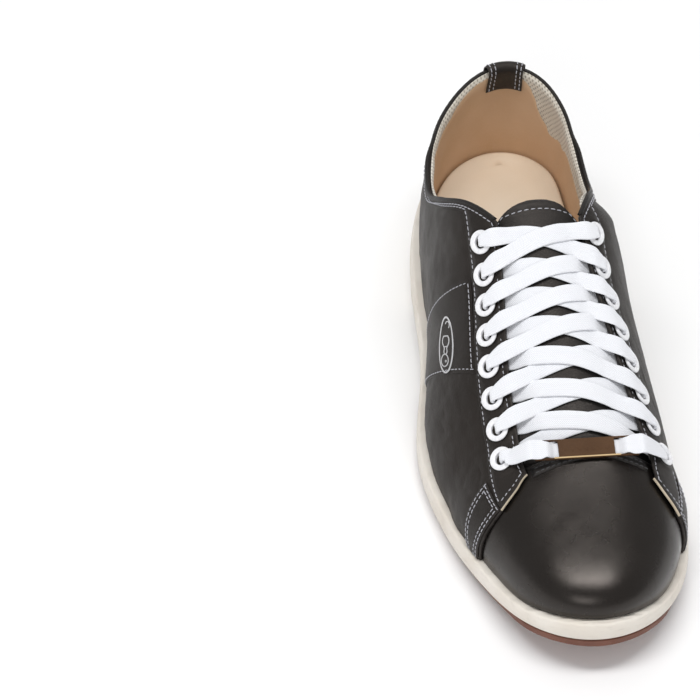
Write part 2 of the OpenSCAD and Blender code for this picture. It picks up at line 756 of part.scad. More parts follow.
function tail(side) = [
    for (p = [[.98, -.4, pinched], [.99, -1.7, pinched], [1.09, -2.5, 4.6], [1.15, -3.4, 5.6],
        [1.2, -4.05, 6.4], [1.32, -4.2, lace_width], [1.45, -4.2, lace_width]])
        lace_knot(side * p[0], eyelet_f(1), p[1], p[2])
];
// All the runs from one bottom eyelet up to the other's top one
function climb(from, row) =
    row == 1 ? tail(from) : concat(run(from, row), climb(-from, row - 1));

// Frame of the tag: level across the shoe, tilted with the ridge
tag_f = .7745;
tag_half = 23;
// The tag sits nearer the lateral side than the ridge does, midway between the facings
tag_aside = 4;
tag_width = 9;
tag_thick = 1.6;
tag_low = 1.6;
slot_from = 12.2;
slot_to = 19.8;
tag_tilt = atan(ridge_slope(ridge_f(tag_f)));
function tag_point(x, h) =
    skin(at(lateral, tag_f), 1, 0) + [x - tag_aside, h * sin(tag_tilt), h * cos(tag_tilt)];
bar_low = tag_low - .1 - lace_thickness / 2;
bar_high = tag_low + tag_thick + .1 + lace_thickness / 2;
tag_along = [0, cos(tag_tilt), -sin(tag_tilt)];
function tag_knot(x, h) = [tag_point(x, h), lace_width, tag_along];
function bar_half(side) = concat(
    [for (x = [3, 8, 12]) tag_knot(side * x, bar_low)],
    [for (i = [0:4]) tag_knot(side * (14 + i), mix(bar_low, bar_high, smooth(0, 4, i)))],
    [for (x = [20, 22.5, 25.4]) tag_knot(side * x, bar_high)],
    [for (p = [[.84, over_facing + .8, 5.8, .5], [.9, over_facing + .3, 4.8, .15],
        [.945, over_facing + .25, 3.8, 0], [.972, 2.7, pinched, 0], [.975, 1.2, pinched, 0]])
        lace_knot(side * p[0], mix(eyelet_f(eyelet_rows), ridge_f(tag_f), p[3]), p[1], p[2])]
);
function lace_path() = concat(
    backwards(concat(bar_half(lateral), climb(lateral, eyelet_rows))),
    [tag_knot(0, bar_low)],
    bar_half(medial),
    climb(medial, eyelet_rows)
);

function ribbon_section(path, i) =
    let (
        p = path[max(i - 1, 0)][0],
        q = path[min(i + 1, len(path) - 1)][0],
        t = unit(q - p),
        along = path[i][2],
        w = unit(along - (along * t) * t),
        n = cross(t, w),
        c = path[i][0],
        x = w * path[i][1] / 2,
        z = n * lace_thickness / 2
    )
    [c - x - z, c + x - z, c + x + z, c - x + z];
module lace() {
    path = lace_path();
    color([.95, .95, .97])
        loft([for (i = [0:len(path) - 1]) ribbon_section(path, i)], plain_cap);
}

module lace_tag() {
    slot_width = lace_width + .8;
    color([.42, .27, .16])
        translate(tag_point(0, tag_low)) rotate([-tag_tilt, 0, 0]) translate([0, 0, tag_thick / 2])
            difference() {
                cube([2 * tag_half, tag_width, tag_thick], center = true);
                for (side = [-1, 1])
                    translate([side * (slot_from + slot_to) / 2, 0, 0])
                        cube([slot_to - slot_from, slot_width, 2 * tag_thick], center = true);
            }
}

outsole_forepart();
heel_lift();
midsole();
cork_filler();
shank();
insole_board();
sock_liner();
vamp();
vamp_lining();
toe_puff();
lateral_quarter();
medial_quarter();
lateral_lining();
medial_lining();
heel_lining();
heel_counter();
lateral_eyestay();
medial_eyestay();
lateral_facing_lining();
medial_facing_lining();
lateral_side_bar();
medial_side_bar();
saddle_panel();
badge_oval();
heel_tab();
collar_binding();
tongue();
tongue_lining();
lateral_eyelets();
medial_eyelets();
lace();
lace_tag();
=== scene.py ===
"""Looks of a right-foot lace-up bowling shoe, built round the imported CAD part.

Lengths in this script are millimetres in the CAD frame; meshes are scaled to metres as they are made.
"""
import math

import bmesh
import bpy
import numpy as np
from mathutils import Matrix, Vector


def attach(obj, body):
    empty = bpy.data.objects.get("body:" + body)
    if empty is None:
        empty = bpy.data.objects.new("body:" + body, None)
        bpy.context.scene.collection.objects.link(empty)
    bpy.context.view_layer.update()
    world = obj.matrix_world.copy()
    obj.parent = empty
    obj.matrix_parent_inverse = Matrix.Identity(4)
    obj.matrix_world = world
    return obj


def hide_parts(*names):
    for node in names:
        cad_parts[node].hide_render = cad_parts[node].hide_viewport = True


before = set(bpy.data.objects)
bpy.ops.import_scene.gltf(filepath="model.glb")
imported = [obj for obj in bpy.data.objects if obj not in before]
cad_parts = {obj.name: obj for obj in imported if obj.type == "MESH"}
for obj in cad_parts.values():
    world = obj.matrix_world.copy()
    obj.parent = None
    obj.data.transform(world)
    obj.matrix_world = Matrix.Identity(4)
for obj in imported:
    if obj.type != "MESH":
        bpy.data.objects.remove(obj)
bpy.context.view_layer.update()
MM = 0.001
SHOE, TONGUE, TAG = "shoe", "tongue", "lace_tag"
LATERAL, MEDIAL = -1, 1
SIDES = {"lateral": LATERAL, "medial": MEDIAL}

# ------------------------------------------------------------------ camera
CAMERA_AZIMUTH = -12.2
CAMERA_ELEVATION = 45.55
CAMERA_ROLL = 5.54
CAMERA_DISTANCE = 1828
CAMERA_LENS = 210.9
SENSOR = 36
AIM = np.array([-1.5, 0, 43.8])
# Where the middle of the shoe stands in the frame, as a share of its width from the centre
AIM_RIGHT, AIM_UP = 0.266, -0.0014


def make_camera():
    az, el, roll = (math.radians(x) for x in (CAMERA_AZIMUTH, CAMERA_ELEVATION, CAMERA_ROLL))
    back = Vector((math.sin(az) * math.cos(el), -math.cos(az) * math.cos(el), math.sin(el)))
    right = Vector((math.cos(az), math.sin(az), 0))
    up = back.cross(right)
    turned_right = right * math.cos(roll) + up * math.sin(roll)
    turned_up = up * math.cos(roll) - right * math.sin(roll)
    rotation = Matrix((turned_right, turned_up, back)).transposed()
    pan = Matrix.Rotation(math.atan(AIM_RIGHT * SENSOR / CAMERA_LENS), 3, "Y")
    tilt = Matrix.Rotation(-math.atan(AIM_UP * SENSOR / CAMERA_LENS), 3, "X")
    camera = bpy.data.objects.new("camera", bpy.data.cameras.new("camera"))
    camera.data.lens = CAMERA_LENS
    camera.data.sensor_width = SENSOR
    camera.matrix_world = Matrix.Translation((Vector(AIM) + back * CAMERA_DISTANCE) * MM) \
        @ (rotation @ pan @ tilt).to_4x4()
    bpy.context.scene.collection.objects.link(camera)
    bpy.context.scene.camera = camera


make_camera()

# ------------------------------------------------------------------ form of the shoe, as in the CAD
# Every table is [fraction of the length from the heel, value].
UPPER_LENGTH = 292
HALF = {
    LATERAL: [[0, 64], [.05, 61.5], [.15, 54.5], [.30, 46.7], [.42, 46], [.60, 57.5], [.75, 59],
              [.88, 59.3], [1, 65.5]],
    MEDIAL: [[0, 64], [.05, 58.2], [.15, 45.5], [.30, 43.2], [.42, 43.2], [.60, 47], [.72, 52.4],
             [.85, 58.3], [1, 65.5]],
}
CENTRE_X = [[0, .9], [.3, -1.1], [.6, 4], [.85, 6.7], [1, 5.9]]
FEATHER_Z = [[0, 27.4], [.15, 27.4], [.35, 20], [.5, 14.2], [.65, 12.6], [.8, 15.2], [.92, 20.4],
             [1, 29.8]]
RIDGE_Z = [[0, 128], [.15, 126.5], [.267, 121.7], [.383, 114.5], [.483, 97.6], [.583, 85.3],
           [.683, 70.6], [.773, 59.3], [.867, 53.5]]
RIDGE_X = [[.15, 2], [.383, -1.5], [.583, 4.7], [.773, 12.3]]
RIDGE_BACK, RIDGE_FRONT, RIDGE_BLEND = .15, .773, .0467
BELLY = [[0, -1.3], [.12, 2.6], [.3, 4.7], [.5, 7.7], [.7, 5], [.9, 3.8], [1, 4.5]]
RISE = [[0, .47], [.2, .41], [.4, .43], [.6, .36], [.8, .47], [1, .62]]
REACH = [[0, .91], [.2, .89], [.35, .91], [.5, .60], [.7, .56], [.85, .69], [1, .63]]
RIM_V = [[0, .434], [.067, .37], [.15, .357], [.25, .385], [.317, .525], [.366, .664], [.42, .797]]
RIM_END = .42
# How far the collar's rim is drawn in on the medial side, and over how much of the wall
DRAWN_IN = [[0, 0], [.03, .3], [.07, 1.2], [.15, 2], [.2, 3.2], [.25, 4.8], [.3, 6.4], [.34, 6],
            [.38, 3.6], [.42, 1], [.44, 0]]
DRAWN_BELOW, DRAWN_ABOVE = .18, (.03, .17)
EYELET_V = {LATERAL: (.703, .58), MEDIAL: (.72, .51)}
EYELET_F = (.434, .742)
EYELET_ROWS = 8
RIM_BEND = .035
FACING_UP = {
    LATERAL: [[.44, .09], [.742, .09], [.79, .115]],
    MEDIAL: [[.44, .078], [.52, .088], [.742, .13], [.79, .17]],
}
SEAM_DOWN = [[.40, .085], [.6, .074], [.79, .095]]
FOOT_V = .006
# Front edge of the side pieces, as [height up the wall, fraction of the length]
FRONT_F = {
    LATERAL: [[0, .834], [.33, .831], [.47, .826], [.59, .812], [.66, .794], [.74, .783]],
    MEDIAL: [[0, .846], [.34, .844], [.44, .841], [.56, .833], [.67, .812], [.75, .79], [.8, .783]],
}
FRONT_NEAR = .8
VAMP_BACK = .770
# Fraction of the length at which the side pieces start, just off the seam at the heel
HEEL_SEAM = .0002
# Millimetres of wall for one unit of v, near enough for stitching and rounded edges
WALL = 108

LEATHER = 1.2
GAP = .1
LINING_OUT = -2.25
LINING_IN = -3.2
EYESTAY = 1.1
OVERLAY = .8


def mix(a, b, t):
    return a + (b - a) * t


def smooth(low, high, x):
    t = np.clip((x - low) / (high - low), 0, 1)
    return t * t * (3 - 2 * t)


def over(x, width):
    return np.where(x < -width, 0, np.where(x > width, x, (x + width) ** 2 / (4 * width)))


def unit(v):
    return v / np.maximum(np.linalg.norm(v, axis=-1, keepdims=True), 1e-12)


def spline(table, x):
    """Smooth curve through a table of [x, y] knots."""
    kx, ky = np.array(table, float).T
    slope = np.gradient(ky, kx)
    slope[1:-1] = (ky[2:] - ky[:-2]) / (kx[2:] - kx[:-2])
    x = np.clip(x, kx[0], kx[-1])
    i = np.clip(np.searchsorted(kx, x, side="right") - 1, 0, len(kx) - 2)
    h = kx[i + 1] - kx[i]
    t = (x - kx[i]) / h
    return ((2 * t**3 - 3 * t**2 + 1) * ky[i] + (t**3 - 2 * t**2 + t) * h * slope[i]
            + (3 * t**2 - 2 * t**3) * ky[i + 1] + (t**3 - t**2) * h * slope[i + 1])


def by_side(table, side, x):
    return np.where(side == LATERAL, spline(table[LATERAL], x), spline(table[MEDIAL], x))


def stack(x, y, z):
    return np.stack(np.broadcast_arrays(x, y, z), axis=-1).astype(float)


def frac(q):
    return (1 - np.cos(np.pi * q)) / 2


def turn(f):
    return np.arccos(1 - 2 * np.clip(f, 0, 1)) / np.pi


def at(side, f):
    return -side * turn(f)


def outline(side, q):
    """Lower edge of the upper, as [x, distance from the heel, z]."""
    f = frac(q)
    half = by_side(HALF, side, f)
    return stack(spline(CENTRE_X, f) + side * half * np.sin(np.pi * q), UPPER_LENGTH * f,
                 spline(FEATHER_Z, f))


def outline_out(side, q):
    d = outline(side, np.minimum(q + .001, 1)) - outline(side, np.maximum(q - .001, 0))
    return unit(stack(d[..., 1] * side, -d[..., 0] * side, 0))


def ridge_f(f):
    low = RIDGE_BACK + over(f - RIDGE_BACK, RIDGE_BLEND)
    return RIDGE_FRONT - over(RIDGE_FRONT - low, RIDGE_BLEND)


def ridge_slope(r):
    return (spline(RIDGE_Z, r + .002) - spline(RIDGE_Z, r - .002)) / (.004 * UPPER_LENGTH)


def wall(a):
    """The four control points of the wall's curve at turn a: 0 heel, 1 toe, positive on the lateral side."""
    a = np.mod(np.asarray(a, float) + 1, 2) - 1
    side = np.where(a >= 0, LATERAL, MEDIAL)
    q = np.abs(a)
    f = frac(q)
    low = outline(side, q)
    r = ridge_f(f)
    top = stack(spline(RIDGE_X, r), UPPER_LENGTH * r, spline(RIDGE_Z, r))
    out = outline_out(side, q) * spline(BELLY, f)[..., None]
    out[..., 2] = spline(RISE, f) * (top - low)[..., 2]
    back = (low - top) * spline(REACH, f)[..., None]
    back[..., 2] = ridge_slope(r) * back[..., 1]
    return low, low + out, top + back, top


def on_wall(points, v):
    u = (1 - v)[..., None]
    v = v[..., None]
    return u**3 * points[0] + 3 * u**2 * v * points[1] + 3 * u * v**2 * points[2] + v**3 * points[3]


def up_wall(points, v):
    u = (1 - v)[..., None]
    v = v[..., None]
    return (3 * u**2 * (points[1] - points[0]) + 6 * u * v * (points[2] - points[1])
            + 3 * v**2 * (points[3] - points[2]))


def surface(a, v):
    """Points and outward normals on the upper's outer surface. v climbs the wall: 0 lower edge, 1 ridge."""
    a, v = (np.asarray(x, float) for x in np.broadcast_arrays(a, v))
    points = wall(a)
    flip = np.array([1, -1, 1])
    step = .002
    across = on_wall(wall(a + step), v) - on_wall(wall(a - step), v)
    normal = unit(np.cross(across * flip, up_wall(points, v) * flip))
    f = frac(np.abs(np.mod(a + 1, 2) - 1))
    crest = unit(stack(0, ridge_slope(ridge_f(f)), 1))
    normal = np.where((v > .999)[..., None], crest, normal)
    place = on_wall(points, v)
    rim = spline(RIM_V, f)
    drawn = spline(DRAWN_IN, f) * smooth(rim - DRAWN_BELOW, rim, v) \
        * (1 - smooth(rim + DRAWN_ABOVE[0], rim + DRAWN_ABOVE[1], v))
    medial = np.mod(a + 1, 2) < 1
    return stack(place[..., 0] - drawn * medial, UPPER_LENGTH / 2 - place[..., 1], place[..., 2]), normal


def lifted(place, normal, off):
    return place + normal * np.broadcast_to(off, place.shape[:-1])[..., None]


def skin(a, v, off):
    return lifted(*surface(a, v), off)


# ------------------------------------------------------------------ lines on the upper
def eyelet_share(f):
    return np.clip((f - EYELET_F[0]) / (EYELET_F[1] - EYELET_F[0]), -.15, 1.2)


def eyelet_v(side, f):
    return mix(*EYELET_V[side], eyelet_share(f))


def edge_v(side, f):
    return eyelet_v(side, f) + spline(FACING_UP[side], f)


def top_v(side, f):
    return mix(spline(RIM_V, f), edge_v(side, f), smooth(RIM_END, RIM_END + RIM_BEND, f))


def seam_v(side, f):
    along = eyelet_v(side, f) - spline(SEAM_DOWN, f)
    return mix(spline(RIM_V, f) - .012, np.minimum(along, top_v(side, f) - .05),
               smooth(.16, .36, f))


def front_f(side, v):
    return spline(FRONT_F[side], v)


def lift(f):
    return (LEATHER + GAP) * smooth(.70, .766, f)


def eyelet_f(row):
    u = (row - 1) / (EYELET_ROWS - 1)
    return mix(*EYELET_F, u - .06 * u * (1 - u))


# ------------------------------------------------------------------ meshes
FAR_FROM_EDGE = 99


def link(name, mesh, body, material):
    """A new smooth-shaded piece that rides on a body, with one material."""
    piece = bpy.data.objects.new(name, mesh)
    bpy.context.scene.collection.objects.link(piece)
    mesh.materials.append(material)
    mesh.polygons.foreach_set("use_smooth", [True] * len(mesh.polygons))
    if "edge" not in mesh.attributes:
        unworn = mesh.attributes.new("edge", "FLOAT", "POINT")
        unworn.data.foreach_set("value", [FAR_FROM_EDGE] * len(mesh.vertices))
    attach(piece, body)
    return piece


def solid_mesh(name, points, faces, uv=None, worn=None):
    """Mesh in metres from millimetre points, turned to face outwards."""
    mesh = bpy.data.meshes.new(name)
    mesh.from_pydata((np.reshape(points, (-1, 3)) * MM).tolist(), [], [list(map(int, f)) for f in faces])
    if uv is not None:
        layer = mesh.uv_layers.new(name="UVMap")
        corner = np.zeros(len(mesh.loops), int)
        mesh.loops.foreach_get("vertex_index", corner)
        layer.data.foreach_set("uv", np.reshape(uv, (-1, 2))[corner].astype(np.float32).ravel())
    if worn is not None:
        wear = mesh.attributes.new("edge", "FLOAT", "POINT")
        wear.data.foreach_set("value", np.ravel(worn).astype(np.float32))
    edit = bmesh.new()
    edit.from_mesh(mesh)
    bmesh.ops.remove_doubles(edit, verts=edit.verts, dist=1e-7)
    bmesh.ops.recalc_face_normals(edit, faces=edit.faces)
    if edit.calc_volume(signed=True) < 0:
        bmesh.ops.reverse_faces(edit, faces=edit.faces)
    edit.to_mesh(mesh)
    edit.free()
    return mesh


def quads(n, m, first=0, closed=False):
    """Faces of an n by m grid of points, numbered from first.

    A closed grid joins its last row to its first.
    """
    i, j = np.meshgrid(np.arange(n if closed else n - 1), np.arange(m - 1), indexing="ij")
    k = (i + 1) % n
    corners = np.stack([i * m + j, k * m + j, k * m + j + 1, i * m + j + 1], -1)
    return (corners + first).reshape(-1, 4).tolist()


def tube_faces(n, k):
    """Faces of n rings of k points, each ring closed on itself."""
    return quads(n, k) + [[i * k + k - 1, i * k, (i + 1) * k, (i + 1) * k + k - 1] for i in range(n - 1)]


def end_caps(n, m, k):
    """Faces over the first k points of the first and the last of n rings of m points."""
    return [list(range(k)), [(n - 1) * m + j for j in range(k)][::-1]]


def gathered(parts):
    """Points and faces of several meshes as one, each given as its points and faces."""
    points, faces = [], []
    for part_points, part_faces in parts:
        first = sum(len(p) for p in points)
        points.append(part_points)
        faces += [[first + corner for corner in face] for face in part_faces]
    return np.vstack(points), faces


def slab_faces(n, m):
    """Faces of the closed shell between two n by m grids."""
    top = n * m
    rim = [i * m for i in range(n)] + [(n - 1) * m + j for j in range(1, m)] \
        + [i * m + m - 1 for i in range(n - 2, -1, -1)] + list(range(m - 2, 0, -1))
    sides = [[rim[k - 1], rim[k], rim[k] + top, rim[k - 1] + top] for k in range(len(rim))]
    return quads(n, m) + [f[::-1] for f in quads(n, m, top)] + sides


def run_length(points):
    """Distance along a path of points, from its start to each of them."""
    return np.r_[0, np.cumsum(np.linalg.norm(np.diff(points, axis=0), axis=-1))]


def lengths(points):
    """Distances along both directions of a grid of points, each measured on its middle line."""
    n, m = points.shape[:2]
    return run_length(points[:, m // 2]), run_length(points[n // 2])


def grid_uv(u, v):
    return np.stack(np.meshgrid(u, v, indexing="ij"), -1)


def slab(name, outer, inner, body, material, worn_borders=(1, 1, 1, 1)):
    """Closed shell between two grids of points.

    worn_borders says which of the back, front, low and high borders wear.
    """
    n, m = outer.shape[:2]
    u, v = lengths(outer)
    uv = grid_uv(u, v)
    near = [distance + (0 if worn else FAR_FROM_EDGE)
            for distance, worn in zip((u, u[-1] - u, v, v[-1] - v), worn_borders)]
    border = np.minimum(np.minimum(near[0], near[1])[:, None], np.minimum(near[2], near[3])[None])
    points = np.concatenate([outer.reshape(-1, 3), inner.reshape(-1, 3)])
    mesh = solid_mesh(name, points, slab_faces(n, m), np.concatenate([uv.reshape(-1, 2)] * 2),
                      np.concatenate([border.ravel()] * 2))
    return link(name, mesh, body, material)


def steps(count, length, edge):
    """Shares from 0 to 1, closer together in the last "edge" millimetres at each end."""
    fine = edge * (1 - np.cos(np.linspace(0, np.pi / 2, 5)))[:-1]
    middle = np.linspace(edge, length - edge, count)
    return np.concatenate([fine, middle, (length - fine)[::-1]]) / length


def rounded(shares, length, radius):
    """How far an edge's rounding lowers the surface at each share of the length."""
    near = np.clip(radius - np.minimum(shares, 1 - shares) * length, 0, radius)
    return radius - np.sqrt(np.maximum(radius**2 - near**2, 0))


def waves(points, size, seed, count=28):
    """Smooth noise of about unit height, whose features are about "size" millimetres across."""
    draw = np.random.default_rng(seed)
    k = unit(draw.normal(size=(count, 3))) * (2 * np.pi / size) * draw.uniform(.55, 1.45, (count, 1))
    phase = draw.uniform(0, 2 * np.pi, count)
    return np.sin(points @ k.T + phase).sum(-1) * math.sqrt(2 / count)


def creases(points, size, seed, sharp=.16):
    """Thin lines, 1 deep and about "size" apart, like the folds in milled leather."""
    return -np.exp(-(waves(points, size, seed) / sharp) ** 2)


def groove(distance, depth=.22, half=.75):
    """Dent that a row of stitches pulls into leather, at a distance from the row."""
    return -depth * np.exp(-(distance / half) ** 2)


def squared(wave, power):
    """A sine or cosine made squarer, with its sign kept."""
    return np.sign(wave) * np.abs(wave) ** power


def side_node(side, part):
    return ("lateral_" if side == LATERAL else "medial_") + part


# ------------------------------------------------------------------ materials
class Shader:
    """A Principled material with a short way to wire its nodes."""

    def __init__(self, name, roughness, **sockets):
        self.material = bpy.data.materials.new(name)
        self.material.use_nodes = True
        self.tree = self.material.node_tree
        self.surface = self.tree.nodes["Principled BSDF"]
        self.surface.inputs["Roughness"].default_value = roughness
        for socket, value in sockets.items():
            self.surface.inputs[socket.replace("_", " ")].default_value = value
        self.coords = self.tree.nodes.new("ShaderNodeTexCoord")

    def node(self, kind, inputs=None, **settings):
        """A new node. Each input is a value or another node's output."""
        made = self.tree.nodes.new("ShaderNode" + kind)
        for key, value in settings.items():
            setattr(made, key, value)
        for key, value in (inputs or {}).items():
            if hasattr(value, "is_output"):
                self.tree.links.new(value, made.inputs[key])
            else:
                made.inputs[key].default_value = value
        return made

    def scaled(self, size, stretch=(1, 1, 1)):
        """Object coordinates in units of "size" millimetres."""
        scale = [s / (size * MM) for s in stretch]
        return self.node("Mapping", {"Vector": self.coords.outputs["Object"], "Scale": scale}).outputs[0]

    def noise(self, size, detail=3, stretch=(1, 1, 1)):
        """Noise with features of about "size" millimetres."""
        inputs = {"Vector": self.scaled(size, stretch), "Scale": 1, "Detail": detail}
        return self.node("TexNoise", inputs).outputs["Fac"]

    def cells(self, size, feature="DISTANCE_TO_EDGE"):
        inputs = {"Vector": self.scaled(size), "Scale": 1}
        return self.node("TexVoronoi", inputs, feature=feature).outputs["Distance"]

    def between(self, value, low, high, to_low=0, to_high=1):
        return self.node("MapRange", {"Value": value, "From Min": low, "From Max": high,
                                      "To Min": to_low, "To Max": to_high}).outputs[0]

    def math(self, operation, *values):
        return self.node("Math", dict(enumerate(values)), operation=operation).outputs[0]

    def blend(self, factor, a, b):
        """Colour a where the factor is 0 and b where it is 1."""
        a, b = (x if hasattr(x, "is_output") else (*x, 1) for x in (a, b))
        return self.node("Mix", {0: factor, 6: a, 7: b}, data_type="RGBA").outputs[2]

    def color(self, value):
        self.tree.links.new(value, self.surface.inputs["Base Color"])

    def roughness(self, value):
        self.tree.links.new(value, self.surface.inputs["Roughness"])

    def bump(self, height, depth, under=None):
        """Adds relief "depth" millimetres deep, on top of another relief."""
        inputs = {"Height": height, "Distance": depth * MM, "Strength": 1}
        if under:
            inputs["Normal"] = under
        made = self.node("Bump", inputs).outputs[0]
        self.tree.links.new(made, self.surface.inputs["Normal"])
        return made

    def worn(self, width):
        """1 on a piece's border, fading over "width" millimetres, broken up by noise."""
        edge = self.node("Attribute", attribute_name="edge").outputs["Fac"]
        near = self.between(edge, 0, width, 1, 0)
        return self.math("MULTIPLY", near, self.between(self.noise(2.2), .38, .62))


def leather(name, color, light, roughness, grain, depth, wear=.35, **sockets):
    """Grained leather: pebbles of about "grain" millimetres, fine pores, uneven dye and pale worn edges."""
    s = Shader(name, roughness, **sockets)
    dye = s.blend(s.between(s.noise(28), .3, .75), color, light)
    dye = s.blend(s.between(s.noise(grain * 1.3, 2), .45, .8, 0, .35), dye, light)
    rubbed = s.worn(1.4)
    s.color(s.blend(s.math("MULTIPLY", rubbed, wear), dye, tuple(min(1, c * 3 + .03) for c in light)))
    s.roughness(s.between(s.noise(16, 4), .3, .7, roughness - .05, roughness + .06))
    pebbles = s.between(s.cells(grain), 0, .16)
    low = s.bump(pebbles, depth)
    low = s.bump(s.noise(grain * .35, 4), depth * .6, low)
    s.bump(s.noise(9, 2), depth * 2.5, low)
    return s.material


def thread(name, color, shade):
    """Twisted sewing thread, painted darker in the hollows of its ply as shade."""
    s = Shader(name, .55, Sheen_Weight=.3)
    ply = s.noise(.35, 2)
    # Painted shade: the shade colour goes where the ply bump is low, the thread colour where it is high
    s.color(s.blend(s.between(ply, .35, .65), shade, color))
    s.bump(ply, .06)
    return s.material


def woven_lace():
    """Flat tubular lace: chevron ribs along its length, fine fibres across them. The grooves between the
    ribs are painted bluish grey as shade.
    """
    s = Shader("lace_weave", .78, Sheen_Weight=.35, Sheen_Roughness=.5)
    parts = s.node("SeparateXYZ", {"Vector": s.coords.outputs["UV"]})
    along, across = parts.outputs[0], parts.outputs[1]
    rib = .85
    slant = s.math("ABSOLUTE", across)
    phase = s.math("MULTIPLY", s.math("ADD", along, s.math("MULTIPLY", slant, .8)), math.tau / rib)
    ribs = s.between(s.math("SINE", phase), -1, 1)
    columns = s.between(s.math("SINE", s.math("MULTIPLY", across, math.tau / .95)), -1, 1)
    weave = s.math("MULTIPLY", ribs, s.between(columns, 0, 1, .45, 1))
    soil = s.between(s.noise(14, 3), .35, .75)
    # Painted shade: the low grooves of the weave get a bluish grey, the raised ribs white
    base = s.blend(weave, (.78, .8, .86), (.97, .97, .98))
    s.color(s.blend(s.math("MULTIPLY", soil, .25), base, (.86, .86, .88)))
    fibres = s.noise(.25, 2)
    low = s.bump(weave, .16)
    s.bump(fibres, .05, low)
    return s.material


def spacer_mesh(name, thread_color, hole_shade_color, pitch=2.1):
    """Knitted lining with rows of small round holes, every other row offset by half a pitch. The holes are
    painted in a dark colour as shade.
    """
    s = Shader(name, .85, Sheen_Weight=.25)
    parts = s.node("SeparateXYZ", {"Vector": s.coords.outputs["UV"]})
    k = math.tau / pitch
    a = s.math("COSINE", s.math("MULTIPLY", parts.outputs[0], k))
    b = s.math("COSINE", s.math("MULTIPLY", parts.outputs[1], k * .62))
    knit = s.between(s.math("MULTIPLY", a, b), .25, .75)
    uneven = s.between(s.noise(18, 3), .3, .7)
    yarn = s.blend(uneven, thread_color, tuple(c * .88 for c in thread_color))
    # Painted shade: the holes take the dark colour, the yarn between them keeps its own
    s.color(s.blend(knit, yarn, hole_shade_color))
    low = s.bump(s.between(knit, 0, 1, 1, 0), .35)
    s.bump(s.noise(.4, 3), .08, low)
    return s.material


def moulded(name, color, shade, roughness, speck=1.2, depth=.05, marks=.25, **sockets):
    """Moulded rubber or plastic with a faint mottle, fine texture and rubbed patches."""
    s = Shader(name, roughness, **sockets)
    mottle = s.blend(s.between(s.noise(22, 4), .35, .7), color, shade)
    scuff = s.math("MULTIPLY", s.between(s.noise(6, 6, stretch=(1, 1, 3)), .56, .72), marks)
    s.color(s.blend(scuff, mottle, tuple(c * .72 for c in shade)))
    s.roughness(s.between(s.noise(9, 4), .3, .7, roughness - .07, roughness + .09))
    low = s.bump(s.noise(speck, 4), depth)
    s.bump(s.noise(.35, 2), depth * .4, low)
    return s.material


def metal(name, color, roughness, brushed=4):
    s = Shader(name, roughness, Metallic=1)
    lines = s.noise(.8, 3, stretch=(1, 1 / brushed, 1))
    s.color(s.blend(lines, color, tuple(c * .75 for c in color)))
    s.roughness(s.between(lines, .3, .7, roughness - .06, roughness + .1))
    s.bump(lines, .02)
    return s.material


def cork():
    s = Shader("cork_granules", .9)
    grains = s.cells(2.4, "F1")
    s.color(s.blend(s.between(grains, .1, .8), (.52, .36, .22), (.3, .18, .1)))
    s.bump(grains, .3)
    return s.material


def enamel():
    s = Shader("eyelet_enamel", .24, Coat_Weight=.6, Coat_Roughness=.12)
    tone = s.between(s.noise(1.6, 3), .35, .7)
    s.color(s.blend(tone, (.9, .9, .92), (.8, .8, .83)))
    s.roughness(s.between(s.noise(1.2, 3), .3, .7, .18, .34))
    s.bump(s.noise(1.8, 2), .03)
    return s.material


# Warm tint of the shine on black leather
WARM_SHINE = (1, .9, .83, 1)
VAMP_LEATHER = leather("vamp_leather", (.0045, .0036, .0031), (.0065, .0052, .0046), .25, .55, .012, .2,
                       Specular_IOR_Level=.48, Specular_Tint=WARM_SHINE)
QUARTER_LEATHER = leather("quarter_leather", (.0088, .0071, .0062), (.015, .0123, .0109), .5, .95, .05, .3,
                          Specular_IOR_Level=.36, Specular_Tint=WARM_SHINE)
TRIM_LEATHER = leather("trim_leather", (.0078, .0063, .0056), (.0128, .0106, .0096), .47, .9, .045, .4,
                       Specular_IOR_Level=.36, Specular_Tint=WARM_SHINE)
BINDING_LEATHER = leather("binding_leather", (.009, .0085, .0085), (.014, .0135, .0135), .45, .8, .04, .3,
                          Specular_IOR_Level=.3, Specular_Tint=WARM_SHINE)
TONGUE_LEATHER = leather("tongue_leather", (.0105, .0098, .0096), (.016, .015, .0147), .44, 1.1, .05, .35,
                         Specular_IOR_Level=.34, Specular_Tint=WARM_SHINE)
HEEL_LINING = leather("heel_lining_leather", (.6, .39, .23), (.67, .46, .3), .62, .8, .03, .1)
SOCK_LEATHER = leather("sock_leather", (.74, .61, .46), (.8, .68, .54), .6, .7, .025, .15)
RAW_EDGE = leather("raw_edge", (.62, .52, .38), (.72, .63, .5), .85, .5, .08, 0)
TAG_LEATHER = leather("tag_leather", (.062, .028, .011), (.12, .058, .024), .6, .5, .06, .3,
                      Specular_IOR_Level=.25)
TAG_RIM = moulded("tag_rim", (.62, .45, .22), (.5, .34, .16), .45)
MESH_LINING = spacer_mesh("mesh_lining", (.78, .73, .64), (.42, .37, .3))
BACKING = spacer_mesh("dark_backing", (.05, .043, .04), (.015, .013, .012), 1.1)
TONGUE_BACKING = leather("tongue_backing", (.1, .055, .035), (.14, .08, .05), .7, .8, .04, .2)
WHITE_THREAD = thread("white_thread", (.5, .5, .54), (.34, .34, .38))
DARK_THREAD = thread("dark_thread", (.05, .05, .055), (.02, .02, .022))
LACE_WEAVE = woven_lace()
ENAMEL = enamel()
MIDSOLE_RUBBER = moulded("midsole_rubber", (.82, .77, .7), (.75, .69, .61), .55, .9, .05, .25)
HEEL_RUBBER = moulded("heel_rubber", (.8, .74, .66), (.7, .64, .56), .6, .9, .06, .4)
TREAD_RUBBER = moulded("tread_rubber", (.2, .075, .045), (.14, .05, .03), .62, .8, .08, .4)
BADGE_PRINT = moulded("badge_print", (.62, .62, .63), (.5, .5, .51), .5, .5, .02, .5)
